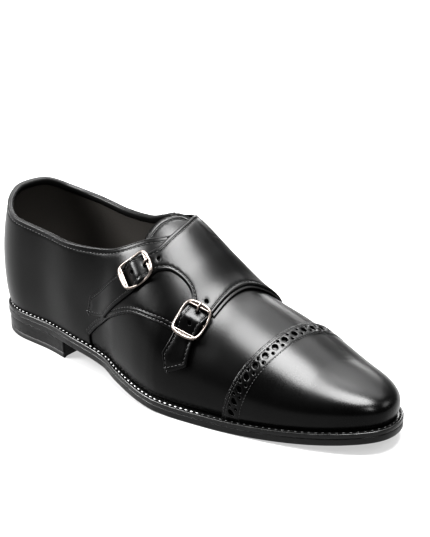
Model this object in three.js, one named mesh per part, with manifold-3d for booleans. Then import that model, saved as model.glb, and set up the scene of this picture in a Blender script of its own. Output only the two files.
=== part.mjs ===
// A man's double monk strap dress shoe for the right foot, made as a scene graph of named solids.
// Millimetres. The toe points along +X, the medial side is +Y, the lateral (buckle) side is -Y and
// +Z is up. The shoe stands on z = 0 on the flat of its heel and the flat spot of its forefoot.
//
// The upper, its straps and its toe cap all come from one last surface. Each half of the last is a
// run of sections that start at the feather edge above the sole and end on the ridge of the instep.
// A section is two cubic curves: feather edge to the widest point, then widest point to the ridge.
// Along the shoe the sections stand square to X. Round the toe and round the heel they fan out
// about an upright axis.

import * as THREE from 'three';
import { mergeVertices } from 'three/addons/utils/BufferGeometryUtils.js';
import Module from 'manifold-3d';

// ---------------------------------------------------------------- driving dimensions (mm)

const LENGTH = 303;            // sole, from heel back to toe tip
const TIP_Y = 8.5;             // the toe tip lies a little to the medial side
const HEEL_AXIS_X = 38;        // axis of the heel fan
const TOE_AXIS_X = 258;        // axis of the toe fan
const HEEL_HALF = 34.5;        // half width of the heel seat
const HEEL_POWER = 2.2;        // roundness of the heel seat

const BALL_LATERAL = { x: 172, y: -49.2, power: 1.22 };
const BALL_MEDIAL = { x: 222, y: 52.0, power: 2.35 };

const OUTSOLE = 4.2;           // thickness of the outsole
const WELT = 2.6;              // thickness of the welt
const GAP = 0.3;               // between pieces that rest on each other
const WALL = 2.2;              // thickness of the upper with its lining
const HEEL_UNDER = 10.9;       // height of the sole's underside over the heel
const TOE_SPRING = 7.8;        // height of the sole's underside at the toe tip
const TOP_PIECE = 3.4;         // thickness of the rubber top piece under the heel
const BREAST_X = 76;           // front face of the heel
const BREAST_HOLLOW = 4;       // how far the breast curves back in the middle

const STRAP_GAP = 0.55;        // between the upper and the strap laid over it
const STRAP_TOP = 2.55;        // outer face of the strap above the upper
const CAP_GAP = 0.45;
const CAP_TOP = 1.65;
const TONGUE_TOP = -3.1;       // outer face of the tongue, below the upper's outer face
const TONGUE_UNDER = -5.1;

const BUCKLE_LONG = 21.8;      // outside of a buckle frame along the strap
const BUCKLE_WIDE = 18.6;      // outside of a buckle frame across the strap
const BAR = 1.05;              // half thickness of a frame bar
const CREST = 2.3;             // rise of a strap over the middle bar of its buckle
const HOLE_R = 1.15;           // punched hole in a strap

// ---------------------------------------------------------------- tables (mm)

// half outline of the sole's edge from the heel to the ball: x, y
const EDGE_LATERAL = [[38, -34.5], [60, -34.5], [85, -37.2], [115, -37.9], [132, -42.7], [152, -47.2], [166, -49.0], [172, -49.2]];
const EDGE_MEDIAL = [[38, 34.5], [60, 33], [85, 29.6], [110, 28], [135, 29.5], [160, 35], [185, 43.5], [200, 47.9], [212, 51.2],
  [219, 51.95], [222, 52]];

// height of the sole's underside: x, z
const UNDERSIDE = [[-5, HEEL_UNDER], [75, HEEL_UNDER], [95, 9.6], [115, 7.1], [135, 4.4], [155, 2.0], [175, 0.5],
  [188, 0], [216, 0], [235, 0.55], [255, 1.9], [275, 3.9], [303, TOE_SPRING]];

// ridge of the last: x, height, y
const RIDGE = [[38, 133, 0], [70, 130, 1], [100, 118, 2.5], [128, 106, 3.5], [150, 96, 4.1], [170, 81.5, 4.5],
  [190, 66.4, 5], [210, 58.2, 5.4], [230, 50.4, 6], [258, 39.1, 6.8]];

// shape of the sections: x, feather inset, swell beyond the feather, height of the widest point
// above the feather, pull of the lower and of the upper handle of the curve to the ridge
const SHAPE = [
  [0, 3.0, 3.5, 30, 0.50, 0.45], [60, 3.0, 2.5, 28, 0.66, 0.50], [110, 3.2, 3.0, 20, 0.62, 0.50],
  [150, 3.8, 3.2, 16, 0.63, 0.49], [200, 4.8, 2.8, 10, 0.63, 0.49], [230, 5.0, 2.8, 9, 0.62, 0.48],
  [258, 5.4, 2.4, 8, 0.57, 0.46], [303, 5.7, 2.1, 7, 0.57, 0.45]];
const TOE_SLOPE = -0.40;       // fall of the ridge where the toe fan starts

// topline height: x, z
const TOPLINE_LATERAL = [[-1, 90.3], [1.5, 89.7], [5, 87.6], [13, 83.2], [26, 79.6], [45, 78], [64, 77], [83, 76.7], [105, 78.2], [120, 80.9],
  [130, 85], [140, 89.5], [150, 92], [160, 95]];
const TOPLINE_MEDIAL = [[-1, 90.3], [1.5, 89.7], [5, 87.6], [13, 83.2], [26, 79.6], [45, 78], [64, 77.4], [91, 80.6], [102, 84], [112, 88],
  [125, 92.5], [138, 93.5], [150, 93.2], [160, 95]];

// the strap panel and its two straps, drawn on the last: x, then girth from the ridge (medial +)
const PANEL_FRONT = [[193.8, -27.5], [193.4, -22.6], [192.2, -14], [191, -4], [191, 5], [192.6, 15], [193.8, 25], [193.6, 38],
  [192, 40.5], [178, 43.5], [165, 50.5], [151, 60.5], [138, 71], [126, 81]];
const PANEL_REAR = [[146.4, -34.3], [149.6, -28], [150.5, -21], [150.3, -9], [148.4, 0], [142.4, 10], [132, 19], [121, 27],
  [112, 33.5], [103, 40], [97, 43.5], [92, 46.5], [89, 49], [86, 51]];
const NOTCH = [[180.7, -30.2], [176.3, -27.9], [169.6, -28.2], [162.8, -31], [157.6, -36.5]];
const FRONT_STRAP_TOE_SIDE = [[193.8, -27.5], [193.2, -38], [193.2, -48], [195.0, -59.5], [183.7, -73.1]];
const FRONT_STRAP_HEEL_SIDE = [[180.7, -30.2], [180.6, -42], [181.2, -53.6], [178.3, -65.9], [181.9, -73.5]];
const REAR_STRAP_TOE_SIDE = [[157.6, -36.5], [150.8, -48.4], [144.1, -60.4], [122.5, -86.2], [105.6, -95.0]];
const REAR_STRAP_HEEL_SIDE = [[146.4, -34.3], [138.9, -45.4], [132.2, -54.8], [107.1, -81.6], [104.1, -93.4]];

// the two buckles: middle of the bar on the instep side and of the outer bar, on the last
const FRONT_BUCKLE = { inner: [187.0, -28.4], outer: [187.4, -48.4] };
const REAR_BUCKLE = { inner: [152.0, -35.6], outer: [139.3, -56.0] };

// top edge of the tongue: girth from the ridge, x
const TONGUE_EDGE = [[-37, 142], [-33, 137.8], [-25, 136], [-13, 136.2], [-3, 138.4], [6, 142], [14, 147.5], [22, 156], [26, 164]];

// ---------------------------------------------------------------- curves

// smooth curve through rows of numbers, read at x
function curve(rows, x, column = 1) {
  const last = rows.length - 1;
  const at = Math.min(Math.max(x, rows[0][0]), rows[last][0]);
  let i = 0;
  while (i < last - 1 && at > rows[i + 1][0]) i += 1;
  const slope = (k) => {
    const a = rows[Math.max(k - 1, 0)];
    const b = rows[Math.min(k + 1, last)];
    return (b[column] - a[column]) / (b[0] - a[0]);
  };
  const step = rows[i + 1][0] - rows[i][0];
  const t = (at - rows[i][0]) / step;
  const t2 = t * t;
  const t3 = t2 * t;
  return (2 * t3 - 3 * t2 + 1) * rows[i][column] + (t3 - 2 * t2 + t) * step * slope(i)
    + (3 * t2 - 2 * t3) * rows[i + 1][column] + (t3 - t2) * step * slope(i + 1);
}

// point at part t (0 to 1) of a line of [x, girth] points, with equal steps between its points
function along(points, t) {
  const rows = points.map((p, i) => [i, p[0], p[1]]);
  const at = t * (points.length - 1);
  return [curve(rows, at, 1), curve(rows, at, 2)];
}

function straightAlong(points, t) {
  const at = Math.min(Math.max(t, 0), 1) * (points.length - 1);
  const i = Math.min(Math.floor(at), points.length - 2);
  const f = at - i;
  return [points[i][0] + (points[i + 1][0] - points[i][0]) * f, points[i][1] + (points[i + 1][1] - points[i][1]) * f];
}

const bezier = (a, b, c, d, t) => {
  const u = 1 - t;
  return u * u * u * a + 3 * u * u * t * b + 3 * u * t * t * c + t * t * t * d;
};

const underside = (x) => Math.max(0, curve(UNDERSIDE, x));
const featherHeight = (x) => underside(x) + OUTSOLE + GAP + WELT + GAP;

// ---------------------------------------------------------------- outline of the sole's edge

// y of the edge at x, between the heel axis and the toe tip
function edgeY(side, x) {
  const ball = side < 0 ? BALL_LATERAL : BALL_MEDIAL;
  if (x <= ball.x) return curve(side < 0 ? EDGE_LATERAL : EDGE_MEDIAL, x);
  const part = Math.min((x - ball.x) / (LENGTH - ball.x), 1);
  return TIP_Y + (ball.y - TIP_Y) * Math.sqrt(Math.max(0, 1 - part ** ball.power));
}

// edge points from the heel back to the toe tip on one side
function edge(side, heelSteps, straightXs, toeSteps) {
  const points = [];
  for (let i = 0; i < heelSteps; i += 1) {
    const turn = (i / heelSteps) * Math.PI / 2;
    const x = HEEL_AXIS_X - HEEL_AXIS_X * Math.cos(turn) ** (2 / HEEL_POWER);
    points.push([x, side * HEEL_HALF * Math.sin(turn) ** (2 / HEEL_POWER)]);
  }
  for (const x of straightXs) points.push([x, edgeY(side, x)]);
  const start = Math.asin((TOE_AXIS_X - 222) / (LENGTH - 222));
  for (let i = 1; i <= toeSteps; i += 1) {
    const turn = start + (Math.PI / 2 - start) * (i / toeSteps);
    const x = 222 + (LENGTH - 222) * Math.sin(turn);
    points.push([x, i === toeSteps ? TIP_Y : edgeY(side, x)]);
  }
  return points;
}

// unit vector pointing out of the outline at point i of a heel-to-toe line
function outward(points, i, side) {
  const n = points.length;
  if (i === 0) return [-1, 0];
  if (i === n - 1) return [1, 0];
  const a = points[i - 1];
  const b = points[i + 1];
  const length = Math.hypot(b[0] - a[0], b[1] - a[1]);
  const tx = (b[0] - a[0]) / length;
  const ty = (b[1] - a[1]) / length;
  return side < 0 ? [ty, -tx] : [-ty, tx];
}

// ---------------------------------------------------------------- the last

// one section of the last, under the edge point [x, y] whose outward direction is out
function section(side, x, y, out) {
  const baseX = Math.min(Math.max(x, HEEL_AXIS_X), TOE_AXIS_X);
  const baseY = curve(RIDGE, baseX, 2);
  const reach = Math.hypot(x - baseX, y - baseY);
  const dir = [(x - baseX) / reach, (y - baseY) / reach];
  const lean = Math.min(Math.max(dir[0] * out[0] + dir[1] * out[1], 0.6), 1);
  const feather = reach - curve(SHAPE, x, 1) / lean;
  const wide = feather + curve(SHAPE, x, 2) / lean;
  const low = featherHeight(x);
  const slope = x > TOE_AXIS_X ? TOE_SLOPE * dir[0] : 0;
  return {
    side, baseX, baseY, dir, feather, wide, low, slope,
    mid: low + curve(SHAPE, x, 3),
    top: curve(RIDGE, baseX, 1),
    lowPull: curve(SHAPE, x, 4),
    topPull: curve(SHAPE, x, 5),
  };
}

// point of a section: s runs from 0 at the feather edge to 1 on the ridge
function sectionPoint(sec, s) {
  let reach;
  let z;
  if (s < 0.3) {
    const t = s / 0.3;
    const rise = sec.mid - sec.low;
    reach = bezier(sec.feather, sec.feather + 0.55 * (sec.wide - sec.feather), sec.wide, sec.wide, t);
    z = bezier(sec.low, sec.low + 0.12 * rise, sec.mid - 0.5 * rise, sec.mid, t);
  } else {
    const t = (s - 0.3) / 0.7;
    const rise = sec.top - sec.mid;
    reach = bezier(sec.wide, sec.wide, sec.topPull * sec.wide, 0, t);
    z = bezier(sec.mid, sec.mid + sec.lowPull * rise, sec.top + sec.topPull * sec.wide * sec.slope, sec.top, t);
  }
  return new THREE.Vector3(sec.baseX + sec.dir[0] * reach, sec.baseY + sec.dir[1] * reach, z);
}

// section square to X at x, with its girth measured from the ridge
function straightSection(side, x) {
  const rise = (edgeY(side, x + 0.5) - edgeY(side, x - 0.5));
  const length = Math.hypot(1, rise);
  const out = side < 0 ? [rise / length, -1 / length] : [-rise / length, 1 / length];
  const sec = section(side, x, edgeY(side, x), out);
  const steps = 48;
  sec.girth = [0];
  let before = sectionPoint(sec, 1);
  for (let i = 1; i <= steps; i += 1) {
    const point = sectionPoint(sec, 1 - i / steps);
    sec.girth.push(sec.girth[i - 1] + point.distanceTo(before));
    before = point;
  }
  return sec;
}

function girthPoint(x, girth) {
  const side = girth < 0 ? -1 : 1;
  const sec = straightSection(side, x);
  const size = Math.abs(girth);
  let i = 1;
  while (i < sec.girth.length - 1 && sec.girth[i] < size) i += 1;
  const f = (size - sec.girth[i - 1]) / (sec.girth[i] - sec.girth[i - 1]);
  return sectionPoint(sec, 1 - (i - 1 + f) / (sec.girth.length - 1));
}

// frame on the last at x and girth: the point, the outward normal and the two surface directions
function onLast(x, girth) {
  const point = girthPoint(x, girth);
  const ahead = girthPoint(x + 0.8, girth).sub(girthPoint(x - 0.8, girth)).normalize();
  const over = girthPoint(x, girth + 0.8).sub(girthPoint(x, girth - 0.8)).normalize();
  const normal = new THREE.Vector3().crossVectors(ahead, over).normalize();
  return { point, ahead, over, normal };
}

function lifted(x, girth, height) {
  const frame = onLast(x, girth);
  return frame.point.addScaledVector(frame.normal, height);
}

// ---------------------------------------------------------------- meshes from grids

// collects triangles by position and leaves out the empty ones
class Solid {
  constructor() {
    this.index = new Map();
    this.points = [];
    this.faces = [];
    this.directed = new Set();
  }

  vertex(p) {
    const key = [p.x, p.y, p.z].map((v) => Math.round(v * 2000)).join(',');
    if (!this.index.has(key)) {
      this.index.set(key, this.points.length);
      this.points.push(p);
    }
    return this.index.get(key);
  }

  triangle(a, b, c) {
    const i = this.vertex(a);
    const j = this.vertex(b);
    const k = this.vertex(c);
    if (i === j || j === k || i === k) return;
    this.faces.push([i, j, k]);
    for (const pair of [[i, j], [j, k], [k, i]]) this.directed.add(pair.join('>'));
  }

  quad(a, b, c, d) {
    this.triangle(a, b, c);
    this.triangle(a, c, d);
  }

  // rows[i][j] points; outward is to the left of going i then j
  grid(rows, flip = false) {
    for (let i = 0; i < rows.length - 1; i += 1) {
      for (let j = 0; j < rows[i].length - 1; j += 1) {
        const [a, b, c, d] = [rows[i][j], rows[i + 1][j], rows[i + 1][j + 1], rows[i][j + 1]];
        if (flip) this.quad(d, c, b, a);
        else this.quad(a, b, c, d);
      }
    }
  }

  // strip that closes the space between two edge lines, turned to suit the faces already there
  close(a, b) {
    const k = a.findIndex((p, i) => i < a.length - 1 && this.vertex(p) !== this.vertex(a[i + 1]));
    if (k < 0) return;
    const used = this.directed.has([this.vertex(a[k]), this.vertex(a[k + 1])].join('>'));
    this.grid([a, b], !used);
  }

  geometry() {
    const position = new Float32Array(this.points.length * 3);
    this.points.forEach((p, i) => position.set([p.x, p.y, p.z], i * 3));
    let volume = 0;
    for (const [i, j, k] of this.faces) {
      volume += this.points[i].dot(new THREE.Vector3().crossVectors(this.points[j], this.points[k]));
    }
    const faces = volume < 0 ? this.faces.map(([i, j, k]) => [i, k, j]) : this.faces;
    const geometry = new THREE.BufferGeometry();
    geometry.setAttribute('position', new THREE.BufferAttribute(position, 3));
    geometry.setIndex(faces.flat());
    return geometry;
  }
}

// a sheet between two even grids of points turned into a closed solid
function sheet(top, under) {
  const solid = new Solid();
  const n = top.length - 1;
  const m = top[0].length - 1;
  solid.grid(top);
  solid.grid(under, true);
  solid.close(top[0], under[0]);
  solid.close(top[n], under[n]);
  solid.close(top.map((r) => r[0]), under.map((r) => r[0]));
  solid.close(top.map((r) => r[m]), under.map((r) => r[m]));
  return solid;
}

// ---------------------------------------------------------------- sole pieces

const SOLE_XS = [38, 48, 57, 66, 75, 84, 93, 102, 111, 120, 129, 138, 147, 156, 165, 174, 182, 188, 195, 202, 209, 216, 224,
  232, 241, 250, 258];

// slab that follows the sole: from height low to height high above the underside, inside the edge
function soleSlab(inset, low, high, steps) {
  const left = edge(-1, 8, SOLE_XS, 11);
  const right = edge(1, 8, SOLE_XS, 11);
  const inside = (points, side) => points.map(([x, y], i) => {
    const out = outward(points, i, side);
    return [x - out[0] * inset, y - out[1] * inset, x];
  });
  const a = inside(left, -1);
  const b = inside(right, 1);
  const layer = (height) => a.map((p, i) => {
    const row = [];
    for (let j = 0; j <= steps; j += 1) {
      const f = j / steps;
      const x = p[0] + (b[i][0] - p[0]) * f;
      const y = p[1] + (b[i][1] - p[1]) * f;
      row.push(new THREE.Vector3(x, y, underside(x) + height));
    }
    return row;
  });
  return sheet(layer(high), layer(low)).geometry();
}

// ring that follows the sole's edge
function soleRing(outset, inset, low, high) {
  const left = edge(-1, 8, SOLE_XS, 11);
  const right = edge(1, 8, SOLE_XS, 11);
  const around = [];
  left.forEach((p, i) => around.push([p, outward(left, i, -1)]));
  for (let i = right.length - 2; i > 0; i -= 1) around.push([right[i], outward(right, i, 1)]);
  const at = ([p, out], distance, height) => {
    const x = p[0] + out[0] * distance;
    return new THREE.Vector3(x, p[1] + out[1] * distance, underside(x) + height);
  };
  const solid = new Solid();
  const rows = around.concat([around[0]]).map((item) => [
    at(item, outset, low), at(item, outset, high - 0.5), at(item, outset - 0.7, high),
    at(item, -inset, high), at(item, -inset, low), at(item, outset, low),
  ]);
  solid.grid(rows);
  return solid.geometry();
}

// flat-faced piece of the heel between two heights, drawn in by a little at its lower end
function heelPiece(low, high, insetLow, insetHigh) {
  const outline = (inset) => {
    const points = [];
    const reach = BREAST_X;
    const side = edge(-1, 8, [38, 47, 56, 66, reach], 1);
    const line = side.slice(0, -1);
    const other = edge(1, 8, [38, 47, 56, 66, reach], 1).slice(0, -1);
    const pull = (list, sign) => list.map((p, i) => {
      const out = i === list.length - 1 ? [0, sign] : outward(list, i, sign);
      return [p[0] - out[0] * inset, p[1] - out[1] * inset];
    });
    const a = pull(line, -1);
    const b = pull(other, 1);
    points.push(...a);
    const y0 = a[a.length - 1][1];
    const y1 = b[b.length - 1][1];
    for (let i = 1; i < 8; i += 1) {
      const y = y0 + (y1 - y0) * (i / 8);
      const f = 2 * (i / 8) - 1;
      points.push([reach - BREAST_HOLLOW * (1 - f * f), y]);
    }
    for (let i = b.length - 1; i > 0; i -= 1) points.push(b[i]);
    return points;
  };
  const lower = outline(insetLow);
  const upper = outline(insetHigh);
  const solid = new Solid();
  const at = (p, z) => new THREE.Vector3(p[0], p[1], z);
  const cap = THREE.ShapeUtils.triangulateShape(lower.map((p) => new THREE.Vector2(...p)), []);
  for (const [i, j, k] of cap) {
    solid.triangle(at(lower[i], low), at(lower[k], low), at(lower[j], low));
    solid.triangle(at(upper[i], high), at(upper[j], high), at(upper[k], high));
  }
  lower.forEach((p, i) => {
    const j = (i + 1) % lower.length;
    solid.quad(at(p, low), at(lower[j], low), at(upper[j], high), at(upper[i], high));
  });
  return solid.geometry();
}

// ---------------------------------------------------------------- upper

const UPPER_XS = [38, 49, 59, 69, 79, 89, 99, 108, 117, 125, 132, 138, 143, 147, 150, 152.5, 154.3, 155.5, 159, 164, 170,
  177, 184, 192, 200, 208, 217, 226, 235, 243, 251, 258];

// the part s of a section where it reaches height z, or 1 when the ridge is lower than z
function partAtHeight(sec, z) {
  if (z >= sec.top - 0.02) return 1;
  let a = 0.3;
  let b = 1;
  for (let i = 0; i < 30; i += 1) {
    const m = (a + b) / 2;
    if (sectionPoint(sec, m).z < z) a = m;
    else b = m;
  }
  return (a + b) / 2;
}

function upperSections(side, xs, heelSteps, toeSteps) {
  const points = edge(side, heelSteps, xs, toeSteps);
  return points.map(([x, y], i) => section(side, x, y, outward(points, i, side)));
}

// normal of the last on a section, from the neighbouring sections of the list
function gridNormals(rows, side) {
  const n = rows.length - 1;
  return rows.map((row, i) => row.map((p, j) => {
    const m = row.length - 1;
    const ahead = new THREE.Vector3().subVectors(rows[Math.min(i + 1, n)][j], rows[Math.max(i - 1, 0)][j]);
    const up = new THREE.Vector3().subVectors(row[Math.min(j + 1, m)], row[Math.max(j - 1, 0)]);
    const normal = new THREE.Vector3().crossVectors(ahead, up).multiplyScalar(-side);
    return normal.normalize();
  }));
}

// points of one half of the upper at an offset from the last, from the feather edge to its top
function upperHalf(side, columns, offset) {
  const secs = upperSections(side, UPPER_XS, 8, 10);
  const topline = side < 0 ? TOPLINE_LATERAL : TOPLINE_MEDIAL;
  const full = secs.map((sec) => {
    const row = [];
    for (let j = 0; j <= 60; j += 1) row.push(sectionPoint(sec, j / 60));
    return row;
  });
  const normals = gridNormals(full, side);
  return secs.map((sec, i) => {
    const edgeX = sec.baseX + sec.dir[0] * sec.wide;
    const end = partAtHeight(sec, curve(topline, edgeX));
    const row = [];
    for (let j = 0; j <= columns; j += 1) {
      const s = end * (j / columns);
      const point = sectionPoint(sec, s);
      const k = Math.min(Math.floor(s * 60), 59);
      const normal = normals[i][k].clone().lerp(normals[i][k + 1], s * 60 - k);
      if (i === 0 || i === secs.length - 1) keepInPlane(normal, sec);
      if (s > 0.999) normal.set(0, 0, 1).addScaledVector(new THREE.Vector3(1, 0, 0), -ridgeSlope(sec.baseX));
      if (j === 0) normal.z = 0;
      normal.normalize();
      row.push(point.addScaledVector(normal, offset));
    }
    return row;
  });
}

// drops the part of a normal that leaves the upright plane of its section
function keepInPlane(normal, sec) {
  const side = -normal.x * sec.dir[1] + normal.y * sec.dir[0];
  normal.x += side * sec.dir[1];
  normal.y -= side * sec.dir[0];
}

function ridgeSlope(x) {
  if (x >= TOE_AXIS_X) return TOE_SLOPE;
  return (curve(RIDGE, x + 0.5, 1) - curve(RIDGE, x - 0.5, 1));
}

function upper() {
  const columns = 12;
  const solid = new Solid();
  for (const side of [-1, 1]) {
    const outer = upperHalf(side, columns, 0);
    const inner = upperHalf(side, columns, -WALL);
    solid.grid(outer, side > 0);
    solid.grid(inner, side < 0);
    solid.close(outer.map((r) => r[0]), inner.map((r) => r[0]));
    const rim = [outer.map((r) => r[columns]), inner.map((r) => r[columns])];
    const open = rim[0].findIndex((p, i) => i > 12 && Math.abs(p.y - curve(RIDGE, p.x, 2)) < 0.02);
    solid.close(rim[0].slice(0, open + 1), rim[1].slice(0, open + 1));
  }
  return solid.geometry();
}

// ---------------------------------------------------------------- toe cap

function toeCap() {
  const solid = new Solid();
  const columns = 9;
  for (const side of [-1, 1]) {
    const xs = [222, 228, 234, 240, 246, 252, 258];
    const secs = upperSections(side, xs, 2, 11).slice(2);
    const rows = secs.map((sec) => {
      const row = [];
      for (let j = 0; j <= columns; j += 1) row.push(sectionPoint(sec, 0.1 + 0.9 * (j / columns)));
      return row;
    });
    const normals = gridNormals(rows, side);
    const at = (offset) => rows.map((row, i) => row.map((p, j) => {
      const normal = normals[i][j].clone();
      if (j === columns) normal.set(-ridgeSlope(secs[i].baseX), 0, 1);
      if (i === rows.length - 1) keepInPlane(normal, secs[i]);
      return p.clone().addScaledVector(normal.normalize(), offset);
    })).slice(1);
    const top = at(CAP_TOP);
    const under = at(CAP_GAP);
    solid.grid(top, side > 0);
    solid.grid(under, side < 0);
    solid.close(top.map((r) => r[0]), under.map((r) => r[0]));
    solid.close(top[0], under[0]);
  }
  return solid.geometry();
}

// ---------------------------------------------------------------- straps

// placing of a buckle: local X runs along the strap from the instep side, local Y across it
function buckleFrame(buckle) {
  const middle = [(buckle.inner[0] + buckle.outer[0]) / 2, (buckle.inner[1] + buckle.outer[1]) / 2];
  const { point, normal } = onLast(...middle);
  const run = lifted(...buckle.outer, 0).sub(lifted(...buckle.inner, 0));
  run.addScaledVector(normal, -run.dot(normal)).normalize();
  const across = new THREE.Vector3().crossVectors(normal, run).normalize();
  return new THREE.Matrix4().makeBasis(run, across, normal).setPosition(point);
}

const frontPlace = buckleFrame(FRONT_BUCKLE);
const rearPlace = buckleFrame(REAR_BUCKLE);
const intoBuckle = [frontPlace.clone().invert(), rearPlace.clone().invert()];

// the straps rise over the middle bar of each buckle
function strapRise(point) {
  let rise = 0;
  for (const into of intoBuckle) {
    const at = point.clone().applyMatrix4(into);
    if (Math.abs(at.y) < 12 && Math.abs(at.z) < 10) rise = Math.max(rise, CREST * Math.exp(-((at.x / 4.4) ** 2)));
  }
  return rise;
}

function strapPoint(at, height) {
  const frame = onLast(...at);
  const rise = strapRise(frame.point);
  return frame.point.addScaledVector(frame.normal, height + rise);
}

// rows of chart points between two edges, each edge a line of points
function between(first, second, steps, columns, curved) {
  const walk = curved ? along : straightAlong;
  const rows = [];
  for (let i = 0; i <= steps; i += 1) {
    const a = walk(first, i / steps);
    const b = walk(second, i / steps);
    const row = [];
    for (let j = 0; j <= columns; j += 1) {
      const f = j / columns;
      row.push([a[0] + (b[0] - a[0]) * f, a[1] + (b[1] - a[1]) * f]);
    }
    rows.push(row);
  }
  return rows;
}

function strapPanel() {
  const solid = new Solid();
  const lift = (rows, height) => rows.map((row) => row.map((p) => strapPoint(p, height)));
  const steps = 26;
  const panel = between(PANEL_FRONT, PANEL_REAR, steps, 12, true);
  // the first row is the row of the notch: toe-side strap, notch, heel-side strap
  const span = (a, b, n) => {
    const row = [];
    for (let j = 0; j <= n; j += 1) row.push([a[0] + (b[0] - a[0]) * (j / n), a[1] + (b[1] - a[1]) * (j / n)]);
    return row;
  };
  const frontRoot = span(PANEL_FRONT[0], NOTCH[0], 4);
  const rearRoot = span(NOTCH[4], PANEL_REAR[0], 4);
  panel[0] = frontRoot.concat(NOTCH.slice(1, 4), rearRoot);
  // ease the second and third rows towards the notch row so that the cells stay even
  for (let j = 0; j <= 12; j += 1) {
    const f = [0.55, 0.2];
    for (let i = 1; i <= 2; i += 1) {
      const even = [0, 1].map((k) => panel[0][j][k] + (panel[3][j][k] - panel[0][j][k]) * (i / 3));
      panel[i][j] = [0, 1].map((k) => panel[i][j][k] + (even[k] - panel[i][j][k]) * f[i - 1]);
    }
  }
  const front = between(FRONT_STRAP_TOE_SIDE, FRONT_STRAP_HEEL_SIDE, 16, 4, false);
  const rear = between(REAR_STRAP_TOE_SIDE, REAR_STRAP_HEEL_SIDE, 20, 4, false);
  front[0] = frontRoot;
  rear[0] = rearRoot;
  // the straps run away from the notch row, so their faces are turned over
  for (const rows of [panel, front, rear]) {
    const top = lift(rows, STRAP_TOP);
    const under = lift(rows, STRAP_GAP);
    const n = rows.length - 1;
    const m = rows[0].length - 1;
    solid.grid(top, rows !== panel);
    solid.grid(under, rows === panel);
    solid.close(top.map((r) => r[0]), under.map((r) => r[0]));
    solid.close(top.map((r) => r[m]), under.map((r) => r[m]));
    solid.close(top[n], under[n]);
    if (rows === panel) solid.close(top[0].slice(4, 9), under[0].slice(4, 9));
  }
  return solid.geometry();
}

// ---------------------------------------------------------------- tongue

function tongue() {
  const girths = TONGUE_EDGE.map((row) => row[0]);
  const rows = [];
  const steps = 18;
  for (let i = 0; i <= steps; i += 1) {
    const girth = girths[0] + (girths[girths.length - 1] - girths[0]) * (i / steps);
    const start = curve(TONGUE_EDGE, girth);
    const row = [];
    for (let j = 0; j <= 10; j += 1) row.push([start + (188 - start) * (j / 10), girth]);
    rows.push(row);
  }
  const lift = (height) => rows.map((row) => row.map(([x, girth]) => lifted(x, girth, height)));
  return sheet(lift(TONGUE_TOP), lift(TONGUE_UNDER)).geometry();
}

// ---------------------------------------------------------------- cutting with solids

const wasm = await Module();
wasm.setup();

function solidOf(geometry, matrix) {
  const clean = geometry.clone();
  clean.deleteAttribute('normal');
  clean.deleteAttribute('uv');
  if (matrix) clean.applyMatrix4(matrix);
  const merged = mergeVertices(clean, 1e-4);
  return new wasm.Manifold(new wasm.Mesh({
    numProp: 3,
    vertProperties: new Float32Array(merged.attributes.position.array),
    triVerts: new Uint32Array(merged.index.array),
  }));
}

function geometryOf(manifold) {
  const mesh = manifold.getMesh();
  const geometry = new THREE.BufferGeometry();
  geometry.setAttribute('position', new THREE.BufferAttribute(new Float32Array(mesh.vertProperties), 3));
  geometry.setIndex(new THREE.BufferAttribute(new Uint32Array(mesh.triVerts), 1));
  return geometry;
}

// ---------------------------------------------------------------- buckles

// bar along a line of points, its section drawn as wide by high
function bar(points, wide, high) {
  const path = new THREE.CatmullRomCurve3(points, false, 'centripetal');
  const shape = new THREE.Shape();
  const w = wide / 2;
  const h = high / 2;
  const c = Math.min(w, h) * 0.55;
  shape.moveTo(-h, -w + c);
  shape.lineTo(-h + c, -w);
  shape.lineTo(h - c, -w);
  shape.lineTo(h, -w + c);
  shape.lineTo(h, w - c);
  shape.lineTo(h - c, w);
  shape.lineTo(-h + c, w);
  shape.lineTo(-h, w - c);
  shape.closePath();
  return new THREE.ExtrudeGeometry(shape, { steps: Math.max(4, points.length * 2 - 2), extrudePath: path, bevelEnabled: false });
}

const v = (x, y, z) => new THREE.Vector3(x, y, z);

// heights of the frame above the last, in the buckle's own axes
const END_BAR_Z = 3.75;
const MIDDLE_BAR_Z = 1.55;

// closed frame: a rounded rectangle swept with an eight-sided section, bowed like the foot
function frameGeometry() {
  const halfLong = BUCKLE_LONG / 2 - BAR;
  const halfWide = BUCKLE_WIDE / 2 - BAR;
  const corner = 2.6;
  const loop = [];
  const corners = [[1, 1], [-1, 1], [-1, -1], [1, -1]];
  corners.forEach(([sx, sy], q) => {
    for (let i = 0; i <= 3; i += 1) {
      const turn = (q + i / 3) * Math.PI / 2;
      loop.push([sx * (halfLong - corner) + corner * Math.cos(turn), sy * (halfWide - corner) + corner * Math.sin(turn)]);
    }
    const next = corners[(q + 1) % 4];
    const middle = [(sx + next[0]) / 2, (sy + next[1]) / 2];
    loop.push([middle[0] * (halfLong + 0.35), middle[1] * (halfWide + 0.2)]);
  });
  const solid = new Solid();
  const height = (x) => MIDDLE_BAR_Z + 0.75 + (END_BAR_Z - MIDDLE_BAR_Z - 0.75) * Math.min(1, Math.abs(x) / (halfLong - 0.8)) ** 2;
  const rows = loop.map(([x, y], i) => {
    const a = loop[(i + loop.length - 1) % loop.length];
    const b = loop[(i + 1) % loop.length];
    const size = Math.hypot(b[0] - a[0], b[1] - a[1]);
    const out = [(b[1] - a[1]) / size, -(b[0] - a[0]) / size];
    const row = [];
    for (let k = 0; k <= 8; k += 1) {
      const turn = (k + 0.5) * Math.PI / 4;
      const reach = BAR * Math.cos(turn);
      row.push(v(x + out[0] * reach, y + out[1] * reach, height(x) + BAR * Math.sin(turn)));
    }
    return row;
  });
  solid.grid(rows.concat([rows[0]]));
  return solid.geometry();
}

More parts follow.
